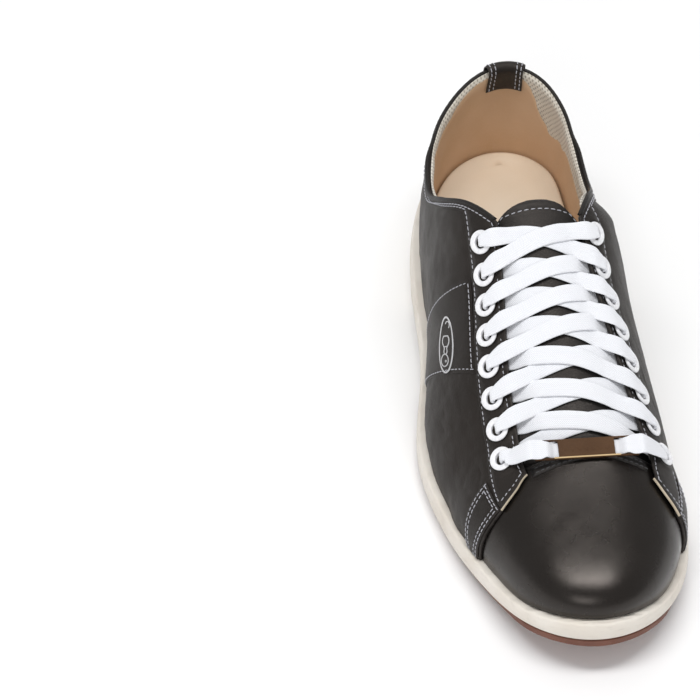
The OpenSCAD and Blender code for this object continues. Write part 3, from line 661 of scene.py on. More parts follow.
HIDDEN_FINISHES = {
    "cork_filler": cork(),
    "shank": metal("shank_steel", (.6, .6, .62), .32),
    "insole_board": moulded("fibre_board", (.42, .3, .18), (.34, .24, .14), .85, .5, .08, .5),
    "vamp_lining": spacer_mesh("vamp_drill", (.66, .6, .5), (.4, .35, .28), 1.0),
    "toe_puff": moulded("puff_sheet", (.6, .56, .48), (.5, .46, .38), .6),
    "heel_counter": moulded("counter_sheet", (.58, .52, .44), (.48, .42, .34), .6),
}


# ------------------------------------------------------------------ sole
SOLE_LIP = 4
TREAD = 3.4
SOLE_TOP_RISE = .35
MIDSOLE_LOW = [[0, 12], [.3, 10.7], [.4, 8.2], [.5, 4.8], [.62, 3], [.75, 4.4], [.87, 9.6], [1, 20.4]]
TREAD_BACK = .455
# The tread steps in under the sides and comes out flush round the toe
TREAD_INSET = [[.455, 2.2], [.90, 2.2], [.955, .6], [1, .4]]
HEEL_LENGTH = 74
HEEL_TAPER = 2
INSOLE_UNDER, INSOLE_BOARD = .45, 2
# How far from the very back and front the sole's sections start and end, in turns
TIP = .006


def sole_low(f):
    return np.maximum(TREAD, spline(MIDSOLE_LOW, f))


def sole_high(f):
    return spline(FEATHER_Z, f) + SOLE_TOP_RISE


def edge_point(side, q, lip, z):
    """Points beside the upper's lower edge, "lip" millimetres further out, at height z."""
    p, out = outline(side, q), outline_out(side, q)
    lip, z = np.broadcast_to(lip, q.shape), np.broadcast_to(z, q.shape)
    return stack(p[:, 0] + lip * out[:, 0], UPPER_LENGTH / 2 - p[:, 1] - lip * out[:, 1], z)


def under_edge(side, q, inset, z):
    """Points under the midsole, "inset" in from one side along the straight line to the other."""
    near, far = edge_point(side, q, SOLE_LIP, z), edge_point(-side, q, SOLE_LIP, z)
    return near + unit(far - near) * inset[:, None]


def cap_strips(k):
    """Faces across the end of a plate, each between two points and the two that face them."""
    strips = [[j, j + 1, k - 2 - j, k - 1 - j] for j in range((k - 1) // 2)]
    return [[c for i, c in enumerate(f) if c not in f[:i]] for f in strips]


def loft(name, q, profile, body, material, top=None):
    """Plate along the shoe.

    profile(side, q) gives the rows of its side wall, from the bottom edge to the top one.
    """
    left, right = profile(LATERAL, q), profile(MEDIAL, q)
    crown = [] if top is None else top(left[-1], right[-1])
    points = np.stack(left + crown + right[::-1], axis=1)
    n, k = points.shape[:2]
    end = cap_strips(k)
    faces = tube_faces(n, k) + [f[::-1] for f in end] + [[(n - 1) * k + j for j in f] for f in end]
    uv = grid_uv(run_length(points[:, 0]), run_length(points[n // 2]))
    return link(name, solid_mesh(name, points, faces, uv), body, material)


def wall_rows(side, q, low, high, bulge, out_low, out_high, corner=.9, seed=0, rough=0):
    """Rows of a side wall with rounded corners at its bottom and top."""
    rows = []
    arc = np.linspace(0, np.pi / 2, 4)
    span = high - low
    shares = [(-corner * (1 - math.sin(t)), corner * (1 - math.cos(t))) for t in arc]
    for back, up in shares:
        rows.append((out_low + back, low + up))
    for t in np.linspace(0, 1, 9)[1:-1]:
        lip = mix(out_low, out_high, t) + bulge * 4 * t * (1 - t)
        rows.append((lip, low + corner + t * (span - 2 * corner)))
    for back, up in shares[::-1]:
        rows.append((out_high + back, high - up))
    made = [edge_point(side, q, lip, z) for lip, z in rows]
    for i, points in enumerate(made):
        if rough and i >= len(made) - 4:
            points[:, 2] += rough * waves(points, 3.2, seed) + rough * .7 * waves(points, 1.1, seed + 1)
    return made


def crown_rows(dip, count=9):
    """Rows between two edges that bow by "dip" millimetres in the middle."""
    def rows(left, right):
        made = []
        for t in np.linspace(0, 1, count + 2)[1:-1]:
            points = mix(left, right, t)
            points[:, 2] += dip * 4 * t * (1 - t)
            made.append(points)
        return made
    return rows


def build_sole():
    def midsole_wall(side, q):
        f = frac(q)
        return wall_rows(side, q, sole_low(f), sole_high(f), .5, SOLE_LIP - .3, SOLE_LIP - .5, 1.1, 5, .13)

    q = np.linspace(TIP, 1 - TIP, 190)
    midsole = loft("midsole_unit", q, midsole_wall, SHOE, MIDSOLE_RUBBER)
    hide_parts("midsole")

    def tread_wall(side, q):
        f = frac(q)
        thick = mix(.7, TREAD, smooth(TREAD_BACK, TREAD_BACK + .09, f))
        low = sole_low(f)
        inset = spline(TREAD_INSET, f)
        rows = [(.5, -thick), (.15, -thick + .15), (0, -thick + .45), (0, -.35), (.1, -.08)]
        return [under_edge(side, q, inset + back, low + up) for back, up in rows]

    q = np.linspace(turn(TREAD_BACK), 1 - TIP, 120)
    tread = loft("forepart_tread", q, tread_wall, SHOE, TREAD_RUBBER)
    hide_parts("outsole_forepart")

    def heel_wall(side, q):
        f = frac(q)
        return wall_rows(side, q, 0 * f, sole_low(f) - .08, .25, SOLE_LIP - HEEL_TAPER, SOLE_LIP - .4, .8)

    q = np.linspace(TIP, turn(HEEL_LENGTH / UPPER_LENGTH), 70)
    heel = loft("heel_block", q, heel_wall, SHOE, HEEL_RUBBER)
    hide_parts("heel_lift")

    # The liner's edge turns up round the heel, as a moulded heel cup does
    base = INSOLE_UNDER + INSOLE_BOARD + .05

    def liner_wall(side, q):
        f = frac(q)
        low = spline(FEATHER_Z, f) + base
        cup = 2.2 + 1.0 * (1 - smooth(.14, .3, f))
        rows = [(-4.4, low), (-4.4, low + cup * .6), (-4.9, low + cup), (-6.2, low + cup + .4)]
        rows += [(-8.6, low + cup * .85), (-13, low + 2.3)]
        return [edge_point(side, q, np.full(q.shape, lip), z) for lip, z in rows]

    q = np.linspace(TIP, 1 - TIP, 140)
    liner = loft("sock_liner_cup", q, liner_wall, SHOE, SOCK_LEATHER, crown_rows(.15))
    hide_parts("sock_liner")


# ------------------------------------------------------------------ upper
def patch(side, f_back, f_front, low, high, columns, rows, follow=False, edge=1.2):
    """Turns, heights and shares of a fine side patch between two heights."""
    length_u = abs(f_front - f_back) * UPPER_LENGTH
    su = steps(columns, length_u, edge)
    mid = (f_back + min(f_front, FRONT_NEAR)) / 2
    length_v = float((high(mid) - low(mid)) * WALL)
    sv = steps(rows, length_v, min(edge, length_v / 3))
    v0 = mix(low(np.float64(FRONT_NEAR)), high(np.float64(FRONT_NEAR)), sv)[None]
    end = front_f(side, v0) if follow else np.full_like(v0, f_front)
    q = mix(turn(f_back), turn(end), su[:, None])
    f = frac(q)
    v = mix(low(f), high(f), sv[None])
    return -side * q, v, f, su, sv, length_u, length_v


def build_vamp():
    columns, rows = 240, 64
    q = np.concatenate([np.linspace(turn(VAMP_BACK), 1, columns // 2 + 1)])
    a = np.concatenate([q, 2 - q[-2::-1]])
    v = FOOT_V + (1 - FOOT_V) * np.linspace(0, 1, rows)
    a, v = np.meshgrid(a, v, indexing="ij")
    place, normal = surface(a, v)
    swell = .04 * waves(place, 34, 3) + .012 * waves(place, 11, 4)
    back = (frac(np.abs(a - 2 * (a > 1))) - VAMP_BACK) * UPPER_LENGTH
    tuck = -.5 * np.exp(-(back / 1.5) ** 2)
    outer = lifted(place, normal, swell - GAP + tuck)
    inner = lifted(place, normal, -GAP - LEATHER)
    vamp = slab("vamp_shell", outer, inner, SHOE, VAMP_LEATHER, (1, 1, 0, 0))
    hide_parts("vamp")


def quarter_foot(f):
    return FOOT_V + .012 * smooth(.68, .76, f)


def quarter_top(side):
    return lambda f: np.minimum(top_v(side, f), seam_v(side, f) + .028)


def build_quarter(name, side):
    a, v, f, su, _, length_u, _ = patch(side, HEEL_SEAM, 1, quarter_foot, quarter_top(side),
                                        210, 70, follow=True)
    place, normal = surface(a, v)
    flex = smooth(.5, .62, f) * (1 - smooth(.74, .8, f)) * smooth(.15, .5, v)
    heel = 1 - smooth(.05, .16, f)
    relief = .1 * waves(place, 26, 7) + .05 * waves(place, 8, 8)
    relief += (.22 * flex + .06) * creases(place, 15, 9) + .12 * flex * creases(place, 6, 10)
    relief *= 1 - .7 * heel
    seam = (v - seam_v(side, f)) * WALL
    relief += groove(seam + 1.2, .15, 1.4) * smooth(.2, .3, f)
    front = rounded(np.maximum(su, .5), length_u, .6)[:, None]
    off = lift(f) - GAP + relief - np.broadcast_to(front, v.shape)
    outer = lifted(place, normal, off)
    inner = lifted(place, normal, lift(f) - GAP - LEATHER)
    quarter = slab(name, outer, inner, SHOE, QUARTER_LEATHER, (0, 1, 0, 0))
    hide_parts(side_node(side, "quarter"))


EYESTAY_BACK = .17
# Distances of the stitch rows from the facing's lower, inner and front edges
SEAM_INSET = 1.5
ROW_INSET = 2.6
FRONT_INSET = 3.2


def eyestay_thick(height):
    """The facing's thickness at a height over its lower edge, where it is pared thin."""
    return EYESTAY * (.42 + .58 * smooth(0, 5, height))


def build_eyestay(name, side):
    """Facing strip that thins to nothing at its stitched lower edge, with dents round the eyelets."""
    low = lambda f: seam_v(side, f)
    high = lambda f: top_v(side, f)
    a, v, f, su, sv, length_u, length_v = patch(side, EYESTAY_BACK, 1, low, high, 260, 30,
                                                follow=True, edge=.9)
    place, normal = surface(a, v)
    height = (v - low(f)) * WALL
    from_top = (high(f) - v) * WALL
    off = lift(f) + eyestay_thick(height)
    off -= rounded(sv, length_v, .5)[None]
    off -= rounded(np.maximum(su, .5), length_u, .5)[:, None]
    off += groove(height - SEAM_INSET, .2) + groove(from_top - ROW_INSET, .2)
    off += .06 * waves(place, 12, 21) + .08 * creases(place, 9, 22)
    for row in range(1, EYELET_ROWS + 1):
        fe = eyelet_f(row)
        centre = skin(np.array([at(side, fe)]), np.array([eyelet_v(side, fe)]), 0)[0]
        away = np.linalg.norm(place - centre, axis=-1)
        off += .35 * np.exp(-((away - 6.6) / 1.3) ** 2) - .25 * np.exp(-(away / 4.5) ** 4)
    stay = slab(name, lifted(place, normal, off), lifted(place, normal, lift(f)), SHOE, TRIM_LEATHER)
    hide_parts(side_node(side, "eyestay"))


FACING_LINING_F = (.372, .764)


def build_facing_lining(name, side):
    low = lambda f: seam_v(side, f) + .036
    high = lambda f: top_v(side, f) - .008
    a, v, f, *_ = patch(side, *FACING_LINING_F, low, high, 120, 10)
    piece = slab(name, skin(a, v, lift(f) - .2), skin(a, v, lift(f) - 1.15), SHOE, BACKING)
    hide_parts(side_node(side, "facing_lining"))


BAR_FOOT = .02
BAR_BACK = (.798, .76)
BAR_ROWS = (1.3, 3.1)


def bar_top(side):
    return float(seam_v(side, np.float64(.79))) - .012


def bar_place(side, u, t):
    """Turn, height and fraction on the side bar: u 0 back to 1 front, t 0 low to 1 high."""
    v = mix(BAR_FOOT, bar_top(side), t)
    f = mix(mix(*BAR_BACK, t), front_f(side, v) - .004, u)
    return at(side, f), v, f


def bar_grid(side, columns, rows):
    u = steps(columns, 14, .8)[:, None]
    t = steps(rows, 42, .8)[None] + 0 * u
    u = u + 0 * t
    return (*bar_place(side, u, t), u, t)


def build_side_bar(name, side):
    a, v, f, u, t = bar_grid(side, 20, 40)
    place, normal = surface(a, v)
    width = np.linalg.norm(place[-1] - place[0], axis=-1)[None]
    height = (bar_top(side) - BAR_FOOT) * WALL
    near = np.minimum(u, 1 - u) * width
    from_top = (1 - t) * height
    off = lift(f) + OVERLAY - .45 * np.exp(-near / .35) - .45 * np.exp(-from_top / .35)
    for inset in BAR_ROWS:
        off += groove(near - inset, .16, .55) + groove(from_top - inset, .16, .55)
    off += .04 * waves(place, 7, 31)
    bar = slab(name, lifted(place, normal, off), skin(a, v, lift(f) + .02), SHOE, TRIM_LEATHER,
               (1, 1, 0, 1))
    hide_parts(side_node(side, "side_bar"))


# Fractions of the length of the panel's low and high corners
PANEL_BACK, PANEL_FRONT = (.385, .463), (.48, .6)


def panel_place(u, t):
    """Turn and height on the outer side's panel: u 0 back to 1 front, t 0 low to 1 high."""
    f = mix(mix(*PANEL_BACK, t), mix(*PANEL_FRONT, t), u)
    return at(LATERAL, f), mix(.02, seam_v(LATERAL, f) - .008, t)


def build_panel():
    u = steps(40, 30, 1.6)[:, None]
    t = steps(46, 52, 1.6)[None]
    a, v = panel_place(u, t)
    place, normal = surface(a, v)
    width = np.linalg.norm(place[-1] - place[0], axis=-1)[None]
    height = np.linalg.norm(place[:, -1] - place[:, 0], axis=-1)[:, None]
    near = np.minimum(np.minimum(u, 1 - u) * width, np.minimum(t, 1 - t) * height)
    off = .12 + .48 * smooth(0, 2.2, near) + groove(near - 1.2, .2, .8)
    off += .05 * waves(place, 16, 41) + .08 * creases(place, 13, 42)
    panel = slab("saddle_patch", lifted(place, normal, off), skin(a, v, -.15), SHOE, TRIM_LEATHER,
                 (0, 0, 0, 0))
    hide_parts("saddle_panel")


# Height of the heel lining's sewn edge on the medial side
HEEL_LINING_TOP = [[0, .42], [.01, .39], [.02, .335], [.03, .25], [.05, .21], [.09, .205], [.13, .215],
                   [.18, .18], [.3, .12], [.44, .06]]


def build_linings():
    for name, side in SIDES.items():
        rim = lambda f: mix(top_v(side, f) + .004, seam_v(side, f) + .01, smooth(.37, .43, f))
        a, v, f, *_ = patch(side, HEEL_SEAM, VAMP_BACK - .004, lambda f: FOOT_V + 0 * f, rim, 130, 40)
        place, normal = surface(a, v)
        soft = .12 * waves(place, 14, 51) + .05 * waves(place, 5, 52)
        from_rim = (rim(f) - v) * WALL
        collar = 1 - smooth(.33, .38, f)
        roll = np.exp(-(from_rim / 2.2) ** 2) * collar
        inner = LINING_IN + soft + 1.1 * np.exp(-(from_rim / .9) ** 2) * collar
        piece = slab(name + "_mesh_lining", skin(a, v, LINING_OUT + .85 * roll),
                     lifted(place, normal, inner), SHOE, MESH_LINING, (0, 0, 0, 0))
        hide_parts(name + "_lining")


HEEL_LINING_REACH = .44


def build_heel_lining():
    """Leather sewn over the mesh round the heel, whose top edge falls away towards the front."""
    end = turn(HEEL_LINING_REACH)
    su = steps(150, 2 * HEEL_LINING_REACH * UPPER_LENGTH, 1)
    a = mix(-end, end, su)[:, None]
    f = frac(np.abs(a))
    lateral_top = spline(RIM_V, f) - .012 - (.05 + .12 * smooth(.08, .42, f)) * smooth(.004, .12, f)
    top = np.where(a > 0, lateral_top, spline(HEEL_LINING_TOP, f))
    sv = steps(34, 36, 1)[None]
    v = mix(FOOT_V, np.maximum(top, .06), sv)
    place, normal = surface(a, v)
    off = LINING_IN - .55 + .1 * waves(place, 22, 55) + .4 * (1 - smooth(0, .02, top - v))
    piece = slab("heel_lining_leather", skin(a, v, LINING_IN + .05), lifted(place, normal, off), SHOE,
                 HEEL_LINING)
    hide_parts("heel_lining")


def build_binding():
    """Folded leather edge round the mouth."""
    n = 260
    a = np.linspace(-turn(RIM_END - .003), turn(RIM_END - .003), n)[:, None]
    side = np.where(a > 0, LATERAL, MEDIAL)
    f = frac(np.abs(a))
    high = np.where(side == LATERAL, top_v(LATERAL, f), top_v(MEDIAL, f))
    middle = mix(-GAP, EYESTAY, smooth(.13, .18, f)) - .62
    half = .95
    angle = np.linspace(0, 2 * np.pi, 20, endpoint=False)[None]
    reach, squareness = 1.1, .85
    across = squared(np.cos(angle), squareness)
    upward = squared(np.sin(angle), squareness)
    pucker = 1 + .035 * np.sin(f * UPPER_LENGTH / 2.7 * 2 * np.pi) * (across > 0)
    place, normal = surface(a + 0 * angle, high + reach * upward / WALL)
    points = lifted(place, normal, middle + half * across * pucker)
    m = points.shape[1]
    loop = np.concatenate([points, points[:, :1]], axis=1)
    faces = quads(n, m + 1) + end_caps(n, m + 1, m)
    uv = grid_uv(*lengths(loop))
    piece = link("collar_bead", solid_mesh("collar_bead", loop, faces, uv), SHOE, BINDING_LEATHER)
    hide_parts("collar_binding")


TAB_HALF = .055
RIM_BACK = RIM_V[0][1]
# Up the heel, over the rim and down inside, as [height up the wall, distance off it]
TAB_PATH = [[.013, .45], [.05, .45], [.15, .45], [.26, .45], [.36, .45], [RIM_BACK, .55],
            [RIM_BACK + .02, .5], [RIM_BACK + .034, -.6], [RIM_BACK + .038, -1.8],
            [RIM_BACK + .034, -3.2], [RIM_BACK + .02, -4.3], [RIM_BACK, -4.6], [RIM_BACK - .04, -4.6],
            [RIM_BACK - .08, -4.6]]


def resample(points, step):
    """Points evenly spaced along a path of points."""
    along = run_length(points)
    count = max(2, int(round(along[-1] / step)) + 1)
    want = np.linspace(0, along[-1], count)
    return np.stack([np.interp(want, along, points[:, k]) for k in range(points.shape[1])], -1)


def curve_through(points, per_span=8):
    """Catmull-Rom curve through rows of numbers."""
    p = np.vstack([2 * points[0] - points[1], points, 2 * points[-1] - points[-2]])
    t = np.linspace(0, 1, per_span, endpoint=False)[:, None]
    spans = [.5 * ((2 * b) + (c - a) * t + (2 * a - 5 * b + 4 * c - d) * t**2
                   + (3 * b - a - 3 * c + d) * t**3)
             for a, b, c, d in zip(p, p[1:], p[2:], p[3:])]
    return np.vstack(spans + [points[-1:]])


def tab_skin(a, v):
    """Points and normals for the heel strip, whose top follows the rim."""
    shift = (spline(RIM_V, frac(np.abs(a))) - RIM_BACK) * smooth(.25, .36, v)
    return surface(a, v + shift)


def build_heel_tab():
    path = curve_through(np.array(TAB_PATH), 7)
    share = np.linspace(-1, 1, 25)
    along = unit(np.gradient(path * [WALL, 1], axis=0))
    thin = .42 - .25 * np.abs(share[:, None]) ** 12

    def layer(sign):
        v = path[:, 0] + sign * thin * along[:, 1] / WALL
        off = path[:, 1] - sign * thin * along[:, 0]
        return lifted(*tab_skin((share * TAB_HALF)[:, None] + 0 * v, v), off)

    piece = slab("heel_strip", layer(1), layer(-1), SHOE, TRIM_LEATHER)
    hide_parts("heel_tab")


# ------------------------------------------------------------------ tongue
TONGUE_TOP = -2.9
TONGUE_THICK = 2.5
TONGUE_F = (.403, .797)
TONGUE_ROUND = .04
TONGUE_DIP = 1.6
# Half the width of the tongue over its surface, and how far inside its edge the stitches run
TONGUE_HALF = 38
TONGUE_ROW = 4


def tongue_half(side, f, inset):
    full = 1 - eyelet_v(side, np.maximum(f, EYELET_F[0])) - .012
    x = np.clip((TONGUE_F[0] + TONGUE_ROUND - f) / TONGUE_ROUND, 0, .985)
    return (full - inset) * np.sqrt(1 - x * x)


def tongue_place(f, share, inset=0.0):
    """Turn and height on the tongue at shares from -1, the lateral edge, to 1."""
    half = np.where(share < 0, tongue_half(LATERAL, f, inset), tongue_half(MEDIAL, f, inset))
    return np.where(share < 0, at(LATERAL, f), at(MEDIAL, f)), 1 - np.abs(share) * half


def tongue_sink(f):
    return -TONGUE_DIP * smooth(.735, .765, f)


def build_tongue():
    def grid(inset, rows=110, columns=61):
        u = np.linspace(0, 1, rows)
        f = mix(TONGUE_F[0] + inset / 6, TONGUE_F[1], mix(u * u, u, .6))[:, None]
        edge = np.linspace(-1, 1, columns)
        share = (np.sign(edge) * (1 - (1 - np.abs(edge)) ** 1.35))[None]
        a, v = tongue_place(f, share + 0 * f, inset)
        return a, v, f + 0 * v, share + 0 * v

    a, v, f, share = grid(0)
    place, normal = surface(a, v)
    top_edge = (f - TONGUE_F[0]) * UPPER_LENGTH
    side_edge = (1 - np.abs(share)) * TONGUE_HALF
    near = np.minimum(top_edge, side_edge)
    soft = .12 * waves(place, 18, 61) + .1 * creases(place, 12, 62) * smooth(2, 8, near)
    off = TONGUE_TOP + tongue_sink(f) + soft - .9 * np.exp(-(near / .9) ** 1.5)
    off += groove(near - TONGUE_ROW, .2, .8)
    under = TONGUE_TOP - TONGUE_THICK + tongue_sink(f)
    piece = slab("tongue_leather_piece", lifted(place, normal, off), lifted(place, normal, under),
                 TONGUE, TONGUE_LEATHER, (1, 0, 1, 1))
    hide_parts("tongue")
    a, v, f, share = grid(.012, 60, 41)
    top = TONGUE_TOP - TONGUE_THICK - GAP + tongue_sink(f)
    lining = slab("tongue_backing_piece", skin(a, v, top), skin(a, v, top - .8), TONGUE, TONGUE_BACKING)
    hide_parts("tongue_lining")


# ------------------------------------------------------------------ eyelets
BORE = 2.9
FLANGE = 5.4
SEAT = EYESTAY + .5
FLANGE_SHARE = .016


def build_eyelets(name, side):
    """Enamelled rings: a barrel through the facing and a rolled flange on top of it."""
    roll = np.linspace(0, np.pi, 13)
    middle, half = (BORE + FLANGE) / 2, (FLANGE - BORE) / 2
    crest = np.stack([middle - half * np.cos(roll), SEAT + .12 + .68 * np.sin(roll) ** .8], -1)
    barrel = [[BORE + .45, -1.3], [BORE + .1, -1.35], [BORE, -1.2], [BORE, 0], [BORE, SEAT - .3]]
    under = [[FLANGE - .15, SEAT - .25], [FLANGE - .7, SEAT - .3], [BORE + .45, SEAT - .3]]
    profile = np.vstack([barrel, crest, under])
    count, k = 48, len(profile)
    turns = np.linspace(0, 2 * np.pi, count, endpoint=False)
    faces = quads(count, k, closed=True)
    faces += [[i * k + k - 1, i * k, (i + 1) % count * k, (i + 1) % count * k + k - 1] for i in range(count)]
    rings = []
    for row in range(1, EYELET_ROWS + 1):
        f = eyelet_f(row)
        place, normal = surface(np.array([at(side, f)]), np.array([eyelet_v(side, f)]))
        axis = normal[0]
        centre = place[0] + axis * lift(f + FLANGE_SHARE)
        x = unit(np.cross(axis, [0, 0, 1.]))
        y = np.cross(axis, x)
        ring = np.cos(turns)[:, None] * x + np.sin(turns)[:, None] * y
        points = centre + ring[:, None] * profile[None, :, :1] + axis * profile[None, :, 1:]
        rings.append((points.reshape(-1, 3), faces))
    piece = link(name, solid_mesh(name, *gathered(rings)), SHOE, ENAMEL)
    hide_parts(side_node(side, "eyelets"))


# ------------------------------------------------------------------ lace and tag
LACE_WIDTH = 8.2
LACE_THICK = 1.1
OVER_FACING = 3.3
UNDER_FACING = -2.2
CROSSING_HIGH = -.75
CROSSING_LOW = -1.98
PINCHED = 4.4
TAG_F = .7745
TAG_HALF = 23
TAG_WIDTH = 9
TAG_THICK = 1.6
TAG_LOW = 1.6
SLOT_FROM, SLOT_TO = 12.2, 19.8
TAG_TILT = math.atan(float(ridge_slope(ridge_f(np.float64(TAG_F)))))


def lace_at(w, f, off):
    """Point across the throat at w: -1 on the lateral eyelets to 1 on the medial ones."""
    side = LATERAL if w < 0 else MEDIAL
    v = 1 - abs(w) * (1 - eyelet_v(side, f))
    rise = lift(f) * smooth(.5, .8, abs(w))
    return skin(np.array([at(side, f)]), np.array([v]), off + rise)[0]


def lace_knot(w, f, off, width):
    along = unit(lace_at(w, f - .004, 0) - lace_at(w, f + .004, 0))
    return np.r_[lace_at(w, f, off), width, along]


def half_over(middle):
    """Half a diagonal from the hole over the facing to the middle, as [share, height, width]."""
    near, far = mix(OVER_FACING, middle, .22), mix(OVER_FACING, middle, .70)
    return [[1, .2, PINCHED], [1, 1.5, PINCHED], [.992, 2.9, PINCHED + .3], [.96, OVER_FACING, 5.2],
            [.925, OVER_FACING, 6.2], [.88, OVER_FACING, 7.3], [.79, OVER_FACING, LACE_WIDTH],
            [.70, near, LACE_WIDTH], [.58, far, LACE_WIDTH - .6],
            [.46, mix(OVER_FACING, middle, .98), LACE_WIDTH - .4], [.3, middle, LACE_WIDTH],
            [.15, middle, LACE_WIDTH]]


def half_under(middle):
    """Half a diagonal from the middle under the facing into the hole."""
    return [[.15, middle, LACE_WIDTH], [.3, middle, LACE_WIDTH], [.47, middle, LACE_WIDTH - .4],
            [.6, mix(middle, UNDER_FACING, .6), LACE_WIDTH - .6], [.70, UNDER_FACING, LACE_WIDTH],
            [.79, UNDER_FACING, LACE_WIDTH - .8], [.87, UNDER_FACING, 6], [.92, UNDER_FACING, 4.6],
            [.975, -1.9, PINCHED], [.995, -.8, PINCHED]]


def diagonal(start, row_a, row_b, first, middle, last):
    fa, fb = eyelet_f(row_a), eyelet_f(row_b)
    return ([lace_knot(start * s, mix(fa, fb, (1 - s) / 2), off, width) for s, off, width in first]
            + [lace_knot(0, (fa + fb) / 2, middle, LACE_WIDTH)]
            + [lace_knot(-start * s, mix(fa, fb, (1 + s) / 2), off, width) for s, off, width in last])


def lace_run(start, row):
    """One diagonal. The side whose lace lies on top changes above the sixth row."""
    on_top = (row >= 6) == (start == MEDIAL)
    c = CROSSING_HIGH if on_top else CROSSING_LOW
    if row == EYELET_ROWS:
        low = c - .15
        return diagonal(start, row, row - 1, half_under(low)[::-1], low, half_under(low))
    if row == 2:
        return diagonal(start, row, 1, half_over(c), c, half_over(c)[::-1])
    return diagonal(start, row, row - 1, half_over(c), c, half_under(c))


def lace_tail(side):
    """The end tucked down inside beside the tongue, below the top eyelet."""
    path = [[1, -.4, PINCHED], [1.01, -1.7, PINCHED], [1.09, -2.5, 4.8], [1.15, -3.4, 5.8],
            [1.2, -4.05, 6.6], [1.32, -4.2, 7], [1.45, -4.2, 7]]
    return [lace_knot(side * w, eyelet_f(1), off, width) for w, off, width in path]


def climb(start):
    knots = []
    for row in range(EYELET_ROWS, 1, -1):
        knots += lace_run(start, row)
        start = -start
    return knots + lace_tail(start)


TAG_ASIDE = 4
RIDGE_AT_TAG = skin(np.array([at(LATERAL, TAG_F)]), np.array([1.]), 0)[0] - [TAG_ASIDE, 0, 0]
TAG_UP = np.array([0, math.sin(TAG_TILT), math.cos(TAG_TILT)])
TAG_BACK = np.array([0, math.cos(TAG_TILT), -math.sin(TAG_TILT)])


def tag_knot(x, h, width=LACE_WIDTH - .9):
    return np.r_[RIDGE_AT_TAG + [x, 0, 0] + TAG_UP * h, width, TAG_BACK]


BAR_LOW = TAG_LOW - .1 - LACE_THICK / 2
BAR_HIGH = TAG_LOW + TAG_THICK + .1 + LACE_THICK / 2


def bar_half(side):
    """From the middle of the tag up through its slot and over the facing into the bottom eyelet."""
    knots = [tag_knot(side * x, BAR_LOW) for x in (3, 8, 12)]
    knots += [tag_knot(side * (14 + i), mix(BAR_LOW, BAR_HIGH, smooth(0, 4, i))) for i in range(5)]
    knots += [tag_knot(side * x, BAR_HIGH, width) for x, width in ((20, 9), (22.5, 9.2), (25.4, 8.8))]
    over = [[.84, OVER_FACING + .8, 8, .5], [.9, OVER_FACING + .3, 6.4, .15],
            [.955, OVER_FACING + .25, 5.2, 0], [.99, 2.9, PINCHED, 0], [1, 1.3, PINCHED, 0]]
    bottom, ridge = eyelet_f(EYELET_ROWS), float(ridge_f(np.float64(TAG_F)))
    return knots + [lace_knot(side * w, mix(bottom, ridge, share), off, width)
                    for w, off, width, share in over]


def lace_knots():
    lateral_half = bar_half(LATERAL) + climb(LATERAL)
    return np.array(lateral_half[::-1] + [tag_knot(0, BAR_LOW)] + bar_half(MEDIAL) + climb(MEDIAL))


def build_lace():
    path = resample(curve_through(lace_knots(), 10), .55)
    for _ in range(2):
        path[1:-1] = (path[:-2] + 2 * path[1:-1] + path[2:]) / 4
    centre, width, along = path[:, :3], path[:, 3], unit(path[:, 4:])
    tangent = unit(np.gradient(centre, axis=0))
    sideways = unit(along - (along * tangent).sum(-1, keepdims=True) * tangent)
    up = np.cross(tangent, sideways)
    thick = LACE_THICK + (LACE_WIDTH - width) * .26
    count = 22
    angle = np.linspace(0, 2 * np.pi, count, endpoint=False)
    x, z = squared(np.cos(angle), .55), squared(np.sin(angle), .9)
    pressed = 1 - .2 * (1 - x * x) ** 2
    flutter = .1 * waves(centre, 6, 71)
    ring = (centre[:, None] + sideways[:, None] * (x * width[:, None] / 2)[..., None]
            + up[:, None] * ((z * pressed * thick[:, None] + flutter[:, None] * x * x) / 2)[..., None])
    n = len(ring)
    ring = np.concatenate([ring, ring[:, :1]], axis=1)
    m = count + 1
    uv = np.stack([np.broadcast_to(run_length(centre)[:, None], (n, m)),
                   np.r_[x, x[0]][None] * width[:, None] / 2], -1)
    faces = quads(n, m) + end_caps(n, m, count)
    piece = link("flat_lace", solid_mesh("flat_lace", ring, faces, uv), SHOE, LACE_WEAVE)
    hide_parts("lace")


def outline_loop(half_x, half_y, radius, per_corner=6):
    """Rounded rectangle, turning once round its middle."""
    loop = []
    for corner, (sx, sy) in enumerate(((1, 1), (-1, 1), (-1, -1), (1, -1))):
        for t in np.linspace(0, np.pi / 2, per_corner):
            angle = corner * np.pi / 2 + t
            loop.append([sx * (half_x - radius) + radius * math.cos(angle),
                         sy * (half_y - radius) + radius * math.sin(angle)])
    return loop


def tag_point(x, y, h):
    return RIDGE_AT_TAG + np.array([x, 0, 0]) + TAG_BACK * y + TAG_UP * (TAG_LOW + h)


